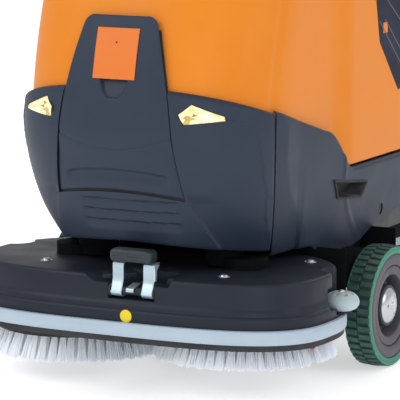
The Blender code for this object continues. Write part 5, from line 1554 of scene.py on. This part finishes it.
def sweptTube(name, spots, radii, steps=28):
    side = Vector((1, 0, 0))
    rows = []
    for index, spot in enumerate(spots):
        ahead = (spots[min(index + 1, len(spots) - 1)] - spots[max(index - 1, 0)]).normalized()
        side = (side - ahead * side.dot(ahead)).normalized()
        other = ahead.cross(side)
        turns = [2 * math.pi * step / steps for step in range(steps)]
        row = [spot + (side * math.cos(turn) + other * math.sin(turn)) * radii[index] for turn in turns]
        rows.append([tuple(point) for point in row + row[:1]])
    tube = gridPiece(name, rows, closed=True)
    closeEnds(tube)
    return tube


def buildHose():
    pitch = 0.0066
    spots = evenLine(hoseLine(), pitch / 4)
    radii = []
    for index in range(len(spots)):
        cuff = index < 20 or index > len(spots) - 20
        radii.append(0.0200 if cuff else 0.0182 + 0.0017 * math.cos(2 * math.pi * index / 4))
    middle = 100
    lower = sweptTube("suctionHoseLower", spots[:middle + 1], radii[:middle + 1])
    upper = sweptTube("suctionHoseUpper", spots[middle:], radii[middle:])
    lift = Vector((0, shiftY, 0))
    for piece, low, high, first, last in (
        (lower, spots[4], spots[middle], "squeegee", "squeegee_arm"),
        (upper, spots[middle], spots[-8], "squeegee_arm", "chassis")
    ):
        activate(piece)
        bpy.ops.object.shade_smooth_by_angle(angle=math.radians(50))
        setLook(piece, hoseLook)
        piece.data.transform(Matrix.Translation(lift))
        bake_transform(piece)
    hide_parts("suction_hose")


buildHose()


def buildSqueegee():
    def bowed(name, front, rear, low, high, half, edge):
        rows = []
        for y, z in ((front, low), (rear, low), (rear, high), (front, high)):
            rows.append([(x, squeegee["reach"] + y - squeegee["bow"] * (x / squeegee["half"]) ** 2,
                z) for x in [half * (step / 30 - 1) for step in range(61)]])
        piece = gridPiece(name, rows + rows[:1], closed=True)
        closeEnds(piece)
        rounded(piece, edge, 2, 40)
        turned = Matrix.Translation((0, squeegee["pivotY"], squeegee["pivotZ"])) @ Matrix.Rotation(
            squeegee["raise"], 4, "X"
        )
        piece.data.transform(turned)
        return piece

    top = squeegee["plateTop"]
    deep = squeegee["depth"] / 2
    turned = Matrix.Translation((0, squeegee["pivotY"], squeegee["pivotZ"])) @ Matrix.Rotation(
        squeegee["raise"], 4, "X"
    )
    plate = bowed("squeegeePlate", -deep, deep, top - squeegee["thick"], top, squeegee["half"] - 0.0003, 0.003)
    neck = lathe("neck",
        [(0.0, -0.003), (0.0255, -0.003), (0.0245, 0.002), (0.0236, 0.010), (0.0236, 0.047), (0.0226, 0.0545),
            (0.019, 0.0545), (0.019, 0.010), (0, 0.010)], 40,
                 (squeegee["neckX"], squeegee["reach"], top))
    neck.data.transform(turned)
    stud = lathe(
        "neck",
        [
            (0, -0.002), (0.016, -0.002), (0.0155, 0.004), (0.0085, 0.008), (0.0078, 0.060), (0.0078, 0.0814),
            (0, 0.0814)
        ],
        28, (0, squeegee["reach"], top)
    )
    stud.data.transform(turned)
    knobs = []
    for x in (-0.30, -0.15, 0.17, 0.31):
        y = squeegee["reach"] - squeegee["bow"] * (x / squeegee["half"]) ** 2
        knob = lathe(
            "knob",
            [
                (0, 0.016), (0.007, 0.0155), (0.0095, 0.013), (0.0085, 0.006), (0.0055, 0.004), (0.0055, -0.001),
                (0, -0.001)
            ],
            20, (x, y, top)
        )
        knob.data.transform(turned)
        knobs.append(knob)
    finishPiece(joinPieces("squeegeeBody", [plate, neck, stud]), steelLook, "squeegee", ("squeegee_body",), 35)
    finishPiece(joinPieces("squeegeeKnobs", knobs), rubberLook, "squeegee")
    low = top - squeegee["thick"] - 0.0003
    rear = deep - 0.006
    blades = [
        bowed("blade", rear - 0.004, rear, low - squeegee["drop"], low, squeegee["half"] - 0.004, 0.0006),
        bowed("blade", -rear, -rear + 0.004, low - squeegee["drop"] + 0.003, low, squeegee["half"] - 0.02, 0.0006),
    ]
    finishPiece(joinPieces("squeegeeBlades", blades), rubberLook, "squeegee", ("squeegee_blade",), 35)
    boss = lathe(
        "boss", [(0, -0.040), (0.0115, -0.040), (0.013, -0.0385), (0.013, 0.0385), (0.0115, 0.040), (0, 0.040)], 28,
        (0, 0, 0), "X"
    )
    bar = boxPiece("bar", (-0.022, -0.004, -0.0088), (0.022, squeegee["reach"] + 0.020, 0.0088))
    rounded(bar, 0.003, 3)
    cutWith(
        bar,
        newPiece(
            "hole", bpy.ops.mesh.primitive_cylinder_add, vertices=28, radius=0.0085, depth=0.06,
            location=(0, squeegee["reach"], 0)
        )
    )
    washer = lathe(
        "boss", [(0.0088, 0.0086), (0.0165, 0.0086), (0.0165, 0.0108), (0.0088, 0.0108), (0.0088, 0.0086)], 28,
        (0, squeegee["reach"], 0)
    )
    arm = joinPieces("squeegeeArmBar", [bar, boss, washer])
    arm.data.transform(turned)
    finishPiece(arm, paintLook, "squeegee_arm", ("squeegee_arm",), 35)


buildSqueegee()


def buildCastor(side, name):
    x, y, axleY, radius, width = side * 0.20, 0.78, 0.815, 0.05, 0.032
    outer = width / 2 + 0.007
    parts = []
    bridge = boxPiece("bridge", (x - outer, y - 0.022, 0.1125), (x + outer, axleY + 0.018, 0.1215))
    rounded(bridge, 0.003, 2)
    parts.append(bridge)
    housing = lathe("housing",
        [(0, 0.0004), (0.019, 0.0004), (0.0205, 0.004), (0.0205, 0.020), (0.030, 0.0225), (0.0305, 0.025),
            (0.0305, 0.0380), (0.029, 0.0402), (0, 0.0402)], 36,
                    (x, y, 0.1210))
    parts.append(housing)
    for cheek in (1, -1):
        low, high = sorted((x + cheek * (outer - 0.0038), x + cheek * outer))
        plate = outlinePiece(
            "cheek",
            (
                (y - 0.012, 0.1150), (axleY - 0.017, 0.055), (axleY - 0.012, 0.040), (axleY, 0.0345),
                (axleY + 0.012, 0.040), (axleY + 0.018, 0.055), (axleY + 0.018, 0.1150)
            ),
            "X", low, high
        )
        rounded(plate, 0.001, 2)
        parts.append(plate)
    axle = lathe("axle",
        [(0, -outer - 0.0028), (0.006, -outer - 0.0028), (0.0075, -outer - 0.0012), (0.0075, -outer),
            (0.005, -outer + 0.001), (0.005, outer - 0.001), (0.0075, outer), (0.0075, outer + 0.0012),
            (0.006, outer + 0.0028), (0, outer + 0.0028)], 24,
                 (x, axleY, radius), "X")
    parts.append(axle)
    finishPiece(
        joinPieces("castorFork" + name, parts), paintLook, "caster_" + name.lower(),
        ("caster_fork_" + name.lower(),), 35
    )
    half = width / 2
    tread = lathe("castorTread" + name,
        [(0.034, -half + 0.0012), (0.044, -half + 0.0004), (0.0480, -half + 0.003), (0.0498, -half + 0.010), (0.05, 0),
            (0.0498, half - 0.010), (0.0480, half - 0.003), (0.044, half - 0.0004), (0.034, half - 0.0012),
            (0.034, -half + 0.0012)], 48,
                  (x, axleY, radius), "X")
    finishPiece(tread, rubberLook, "caster_wheel_" + name.lower(), ("caster_wheel_" + name.lower(),), 35)
    hub = lathe("castorHub" + name,
        [(0.0058, -half + 0.001), (0.012, -half + 0.001), (0.0125, -half + 0.005), (0.030, -half + 0.006),
            (0.0315, -half + 0.0015), (0.0338, -half + 0.0015), (0.0338, half - 0.0015), (0.0315, half - 0.0015),
            (0.030, half - 0.006), (0.0125, half - 0.005), (0.012, half - 0.001), (0.0058, half - 0.001),
            (0.0058, -half + 0.001)], 40,
                (x, axleY, radius), "X")
    finishPiece(hub, rimLook, "caster_wheel_" + name.lower(), (), 35)


buildCastor(1, "Left")
buildCastor(-1, "Right")

# Console, controls and handle

consoleSize = {"front": 0.704, "rear": 0.96, "backZ": 0.955, "topZ": 1.035, "half": 0.24}
slope = math.atan2(consoleSize["topZ"] - consoleSize["backZ"], consoleSize["rear"] - consoleSize["front"] - 0.03)


def onSlope(x, y):
    share = (y - consoleSize["front"] - 0.03) / (consoleSize["rear"] - consoleSize["front"] - 0.03)
    z = consoleSize["topZ"] + (consoleSize["backZ"] - consoleSize["topZ"]) * share
    return Matrix.Translation((x, y, z)) @ Matrix.Rotation(-slope, 4, "X")


def onConsole(piece, x, y):
    piece.data.transform(onSlope(x, y))
    return piece


def buildConsole():
    outline = ((0.704, 0.802), (0.91, 0.802), (0.96, 0.862), (0.96, 0.955), (0.734, 1.035), (0.704, 1.015))
    shell = outlinePiece("consoleShell", outline, "X", -consoleSize["half"], consoleSize["half"])
    rounded(shell, 0.012, 4, 20)
    cutWith(
        shell,
        newPiece(
            "motorSpace", bpy.ops.mesh.primitive_cylinder_add, vertices=48, radius=0.078, depth=0.2,
            location=(0, 0.83, 0.805)
        )
    )
    panelCut = boxPiece("recess", (-0.21, -0.062, -0.0018), (0.21, 0.062, 0.02))
    rounded(panelCut, 0.008, 3)
    cutWith(shell, onConsole(panelCut, 0, 0.835))
    for step in range(6):
        vent = boxPiece("vent", (-0.075, 0.950, 0.872 + 0.011 * step), (0.075, 0.97, 0.876 + 0.011 * step))
        cutWith(shell, vent)
    finishPiece(shell, coverLook, "chassis", ("console_housing",), 32)
    glass = boxPiece("displayGlass", (-0.0585, -0.034, 0.0022), (0.0585, 0.034, 0.0038))
    rounded(glass, 0.0007, 2)
    finishPiece(onConsole(glass, 0, 0.82), screenLook, "chassis", ("display_screen",), 35)
    bezel = boxPiece("displayBezel", (-0.065, -0.040, -0.0016), (0.065, 0.040, 0.0032))
    rounded(bezel, 0.002, 3)
    cutWith(bezel, boxPiece("window", (-0.059, -0.0345, 0.0016), (0.059, 0.0345, 0.02)))
    finishPiece(onConsole(bezel, 0, 0.82), rubberLook, "chassis", (), 35)
    marks = []
    for step in range(8):
        marks.append(boxPiece("mark", (-0.050 + 0.006 * step, -0.020, 0.0038),
            (-0.0455 + 0.006 * step, -0.020 + 0.003 + 0.0016 * step, 0.0040)))
    for x, y, wide in (
        (-0.050, 0.018, 0.030), (0.012, 0.018, 0.036), (0.012, 0.004, 0.024), (0.012, -0.010, 0.030),
        (0.012, -0.022, 0.018)
    ):
        marks.append(boxPiece("mark", (x, y, 0.0038), (x + wide, y + 0.003, 0.0040)))
    finishPiece(onConsole(joinPieces("displayMarks", marks), 0, 0.82), screenPrintLook, "chassis", (), 35)
    pads = []
    for x in (-0.19, 0.085, 0.112, 0.19):
        for y in (-0.030, 0.0, 0.030):
            pad = boxPiece("pad", (x - 0.010, y - 0.009, -0.0020), (x + 0.010, y + 0.009, 0.0014))
            rounded(pad, 0.002, 3)
            if not (x > 0.1 and y > -0.01) or x > 0.15:
                pads.append(pad)
            else:
                bpy.data.objects.remove(pad)
    finishPiece(onConsole(joinPieces("consoleKeys", pads), 0, 0.835), padLook, "chassis", (), 35)
    collar = lathe(
        "stopCollar",
        [(0.0206, -0.002), (0.0246, -0.002), (0.0244, 0.004), (0.0230, 0.0065), (0.0206, 0.0065), (0.0206, -0.002)], 40
    )
    finishPiece(onConsole(collar, 0.15, 0.82), yellowLook, "chassis", (), 35)
    stop = lathe(
        "stopButton",
        [
            (0, 0.0046), (0.0120, 0.0046), (0.0120, 0.0095), (0.0190, 0.0115), (0.0199, 0.0145), (0.0199, 0.0215),
            (0.0180, 0.0250), (0.0120, 0.0272), (0, 0.0278)
        ],
        44
    )
    finishPiece(onConsole(stop, 0.15, 0.82), redLook, "stop_button", ("stop_button",), 35)
    start = lathe(
        "startButton",
        [
            (0, 0.0014), (0.0108, 0.0014), (0.0110, 0.0042), (0.0117, 0.0050), (0.0117, 0.0085), (0.0095, 0.0096),
            (0, 0.0099)
        ],
        36
    )
    finishPiece(onConsole(start, -0.11, 0.86), greenLook, "start_button", ("start_button",), 35)
    ring = lathe(
        "startRing", [(0.0124, -0.0018), (0.0155, -0.0018), (0.0150, 0.0022), (0.0124, 0.0026), (0.0124, -0.0018)], 36
    )
    finishPiece(onConsole(ring, -0.11, 0.86), rubberLook, "chassis", (), 35)
    barrel = lathe("keyBarrel", [(0, 0.0006), (0.0117, 0.0006), (0.0119, 0.0046), (0.0105, 0.0058), (0, 0.0058)], 36)
    blade = boxPiece("blade", (-0.0028, -0.0015, 0.004), (0.0028, 0.0015, 0.012))
    bow = outlinePiece(
        "blade",
        (
            (-0.0108, 0.016), (-0.0075, 0.0112), (0.0075, 0.0112), (0.0108, 0.016), (0.0108, 0.0215), (0.0065, 0.0258),
            (-0.0065, 0.0258), (-0.0108, 0.0215)
        ),
        "Y", -0.0024, 0.0024
    )
    rounded(bow, 0.0012, 3)
    cutWith(
        bow,
        newPiece(
            "eye", bpy.ops.mesh.primitive_cylinder_add, vertices=20, radius=0.0026, depth=0.02, location=(0, 0, 0.0205),
            rotation=(math.pi / 2, 0, 0)
        )
    )
    finishPiece(
        onConsole(joinPieces("keySwitch", [barrel, blade]), -0.16, 0.80), machinedLook, "key_switch",
        ("key_switch",), 35
    )
    finishPiece(onConsole(bow, -0.16, 0.80), rubberLook, "key_switch", (), 35)


buildConsole()


def buildHandle():
    inner, bend = consoleSize["half"] + 0.0148, 0.05
    route = []
    for side in (-1, 1):
        leg = []
        for step in range(13):
            y = 0.78 + 0.20 * step / 12
            leg.append(Vector((side * inner, y, 0.90 + 0.075 * smoothStep((y - 0.78) / 0.20))))
        leg.append(Vector((side * inner, 1.0, 0.975)))
        for angle in range(0, 91, 10):
            turn = math.radians(angle)
            leg.append(Vector((side * (inner - bend + bend * math.cos(turn)), 1.02 + bend * math.sin(turn), 0.975)))
        route += leg if side < 0 else leg[::-1]
    spots = evenLine(route, 0.005)
    bar = sweptTube("handleBar", spots, [0.0122] * len(spots), 32)
    finishPiece(bar, paintLook, "chassis", ("handle_bar",), 35)
    grips = []
    for side in (1, -1):
        near, far = (0.137, 0.196)
        profile = [(0.0123, near), (0.0150, near), (0.0158, near + 0.0015)]
        for step in range(9):
            low = near + 0.004 + 0.006 * step
            profile += [(0.0158, low), (0.0150, low + 0.0008), (0.0150, low + 0.0022), (0.0158, low + 0.003)]
        profile += [(0.0156, far - 0.001), (0.0123, far)]
        grip = lathe("grip", profile, 32, (0, 0, 0), "X")
        if side < 0:
            grip.data.transform(Matrix.Scale(-1, 4, (1, 0, 0)))
            cleanMesh(grip)
        grip.data.transform(Matrix.Translation((0, 1.07, 0.975)))
        grips.append(grip)
    finishPiece(joinPieces("handleGrips", grips), rubberLook, "chassis", (), 35)
    brackets = []
    for side in (1, -1):
        for y, z in ((0.80, 0.9043), (0.90, 0.9375)):
            ends = sorted((side * (consoleSize["half"] - 0.004), side * (inner + 0.010)))
            clamp = boxPiece("clamp", (ends[0], y - 0.014, z - 0.019), (ends[1], y + 0.014, z + 0.019))
            rounded(clamp, 0.006, 4)
            brackets.append(clamp)
    finishPiece(joinPieces("handleBrackets", brackets), deckLook, "chassis", (), 35)
    sleeve = lathe(
        "sleeve",
        [
            (0.0150, -0.13), (0.0172, -0.13), (0.0179, -0.1285), (0.0179, 0.1285), (0.0172, 0.13), (0.0150, 0.13),
            (0.0150, -0.13)
        ],
        36, (0, 0, 0), "X"
    )
    lever = outlinePiece(
        "lever",
        ((-0.128, -0.012), (-0.128, -0.040), (-0.118, -0.0495), (0.118, -0.0495), (0.128, -0.040), (0.128, -0.012)),
        "Y", -0.0058, 0.0018
    )
    rounded(lever, 0.0018, 3)
    for step in range(9):
        cutWith(
            lever, boxPiece("rib", (-0.108 + 0.0255 * step, -0.0072, -0.044), (-0.096 + 0.0255 * step, -0.0045, -0.024))
        )
    paddle = joinPieces("drivePaddle", [sleeve, lever])
    paddle.data.transform(Matrix.Translation((0, 1.07, 0.975)))
    finishPiece(paddle, rimLook, "drive_paddle", ("drive_paddle",), 35)


buildHandle()

# Tank lid and filler cap


def buildLid():
    low, high = 0.9762, 1.0042
    outline = []
    for cornerX, cornerY, first in ((1, 1, 0), (-1, 1, 90), (-1, -1, 180), (1, -1, 270)):
        middle = (cornerX * (0.1998 - 0.038), 0.345 + cornerY * (0.2948 - 0.038))
        for step in range(9):
            turn = math.radians(first + 11.25 * step)
            outline.append((middle[0] + 0.038 * math.cos(turn), middle[1] + 0.038 * math.sin(turn)))
    lid = outlinePiece("tankLidShell", outline, "Z", low, high)
    rounded(lid, 0.006, 4, 60)
    for side in (1, -1):
        well = outlinePiece(
            "well", ((side * 0.060, 0.10), (side * 0.165, 0.10), (side * 0.165, 0.59), (side * 0.060, 0.59)), "Z",
            high - 0.0045, high + 0.01
        )
        cleanMesh(well)
        cutWith(lid, well)
    cutWith(lid, boxPiece("fingerSlot", (-0.045, 0.04, low - 0.002), (0.045, 0.062, low + 0.012)))
    rounded(lid, 0.0012, 2, 50)
    finishPiece(lid, coverLook, "tank_lid", ("tank_lid",), 32)
    ribs = []
    for side in (1, -1):
        for step in range(5):
            y = 0.17 + 0.085 * step
            rib = boxPiece(
                "rib", (min(side * 0.068, side * 0.157), y - 0.004, high - 0.006),
                (max(side * 0.068, side * 0.157), y + 0.004, high - 0.0018)
            )
            rounded(rib, 0.0012, 2)
            ribs.append(rib)
    finishPiece(joinPieces("tankLidRibs", ribs), coverLook, "tank_lid", (), 32)


def buildFillerCap():
    y = surfaceY(0, 0.68, 0.0145) + 0.045
    profile = [
        (0, 0.022), (0.016, 0.0216), (0.0175, 0.0200), (0.030, 0.0192), (0.0325, 0.0176), (0.0338, 0.0150),
        (0.0338, 0.0015), (0.0325, 0.0002), (0, 0.0002)
    ]
    cap = lathe("fillerCapShell", profile, 60)
    for step in range(20):
        turn = 2 * math.pi * step / 20
        groove = newPiece(
            "groove", bpy.ops.mesh.primitive_cylinder_add, vertices=12, radius=0.0022, depth=0.013,
            location=(0.0345 * math.cos(turn), 0.0345 * math.sin(turn), 0.0095)
        )
        cutWith(cap, groove)
    grip = boxPiece("grip", (-0.022, -0.0028, 0.018), (0.022, 0.0028, 0.0219))
    rounded(grip, 0.0012, 2)
    whole = joinPieces("fillerCapShell", [cap, grip])
    whole.data.transform(Matrix.Translation((0, y, 0.68)) @ Matrix.Rotation(math.pi / 2, 4, "X"))
    finishPiece(whole, rubberLook, "filler_cap", ("filler_cap",), 35)


buildLid()
buildFillerCap()


# CAD nodes that keep their shape

# The brush motors, chassis frame, deck arms and wheel guards take the painted-shade black, so they read as shadow under
# the covers.
keptLooks = {
    "chassis_frame": shadeBlackLook, "drive_motor": paintLook, "brush_motor_left": shadeBlackLook,
    "brush_motor_right": shadeBlackLook,
    "vacuum_motor": paintLook, "water_pump": paintLook, "lift_actuator": machinedLook, "battery_pack": batteryLook,
    "deck_arm_left": shadeBlackLook, "deck_arm_right": shadeBlackLook, "wheel_guard_left": shadeBlackLook,
    "wheel_guard_right": shadeBlackLook,
    "caster_fork_left": paintLook, "caster_fork_right": paintLook, "caster_wheel_left": rimLook,
    "caster_wheel_right": rimLook,
    "brush_hub_left": paintLook, "brush_hub_right": paintLook, "brush_plate_left": rubberLook,
    "brush_plate_right": rubberLook,
    "squeegee_arm": paintLook, "squeegee_body": steelLook, "squeegee_blade": rubberLook, "suction_hose": hoseLook,
    "console_housing": coverLook, "display_screen": screenLook, "handle_bar": rubberLook, "drive_paddle": rimLook,
    "key_switch": machinedLook, "stop_button": redLook, "start_button": greenLook, "tank_lid": coverLook,
    "filler_cap": rubberLook, "deck_housing": deckLook, "deck_bumper": stripLook, "splash_skirt": rubberLook,
    "deck_screw_1": machinedLook, "deck_screw_2": machinedLook, "deck_screw_3": machinedLook,
    "deck_screw_4": machinedLook,
    "bristles_left": bristleLook, "bristles_right": bristleLook, "deflector_roller_left": rollerLook,
    "deflector_roller_right": rollerLook, "tyre_left": treadLook, "tyre_right": treadLook, "hub_left": rimLook,
    "hub_right": rimLook, "pedal_pad": padLook, "pedal_straps": steelLook, "pedal_pin": rubberLook,
    "front_cover": coverLook, "front_panel": coverLook, "panel_badge": badgeLook, "solution_tank": orangeLook,
    "recovery_tank": orangeLook, "side_cover_left": coverLook, "side_cover_right": coverLook,
    "headlight_left": lampLook, "headlight_right": lampLook,
}
for node, look in keptLooks.items():
    setLook(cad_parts[node], look)


# Floor, light and camera

print("studio")
floor = newPiece("studioFloor", bpy.ops.mesh.primitive_plane_add, size=80, location=(0, 0, 0))
floorLook = bpy.data.materials.new("studio floor")
floorLook.use_nodes = True
floorShader = floorLook.node_tree.nodes["Principled BSDF"]
floorShader.inputs["Base Color"].default_value = (0.85, 0.85, 0.855, 1)
floorShader.inputs["Roughness"].default_value = 0.8
floorShader.inputs["Specular IOR Level"].default_value = 0.1
floorShader.inputs["Emission Color"].default_value = (1, 1, 1, 1)
floorShader.inputs["Emission Strength"].default_value = 0.50
setLook(floor, floorLook)

studio = {
    "camera": (2.7676, -5.59325, 1.3031), "tilt": 90 - 9.118, "turn": 27.424, "lens": 266.0,
    "sky": 0.62,
    "lights": (
        ("keyLight", (-2.6, -4.2, 3.6), 3.0, 90),
        ("frontLight", (2.4, -4.6, 1.7), 2.4, 34),
        ("sideLight", (4.2, -0.4, 2.2), 2.2, 30),
        ("backLight", (-0.5, 4.5, 3.5), 4.0, 70),
    ),
}
world = bpy.data.worlds.new("studioSky")
bpy.context.scene.world = world
world.use_nodes = True
world.node_tree.nodes["Background"].inputs[0].default_value = (1, 1, 1, 1)
world.node_tree.nodes["Background"].inputs[1].default_value = studio["sky"]
for name, place, size, power in studio["lights"]:
    data = bpy.data.lights.new(name, "AREA")
    data.shape = "SQUARE"
    data.size = size
    data.energy = power
    lamp = bpy.data.objects.new(name, data)
    bpy.context.scene.collection.objects.link(lamp)
    lamp.location = place
    lamp.rotation_euler = (Vector((0, -0.3, 0.5)) - Vector(place)).to_track_quat("-Z", "Y").to_euler()
cameraData = bpy.data.cameras.new("studioCamera")
camera = bpy.data.objects.new("studioCamera", cameraData)
bpy.context.scene.collection.objects.link(camera)
camera.location = studio["camera"]
camera.rotation_euler = (math.radians(studio["tilt"]), math.radians(0.0845), math.radians(studio["turn"]))
cameraData.lens = studio["lens"]
cameraData.sensor_width = 36
cameraData.clip_end = 200
bpy.context.scene.camera = camera
bpy.context.scene.view_settings.view_transform = "Standard"
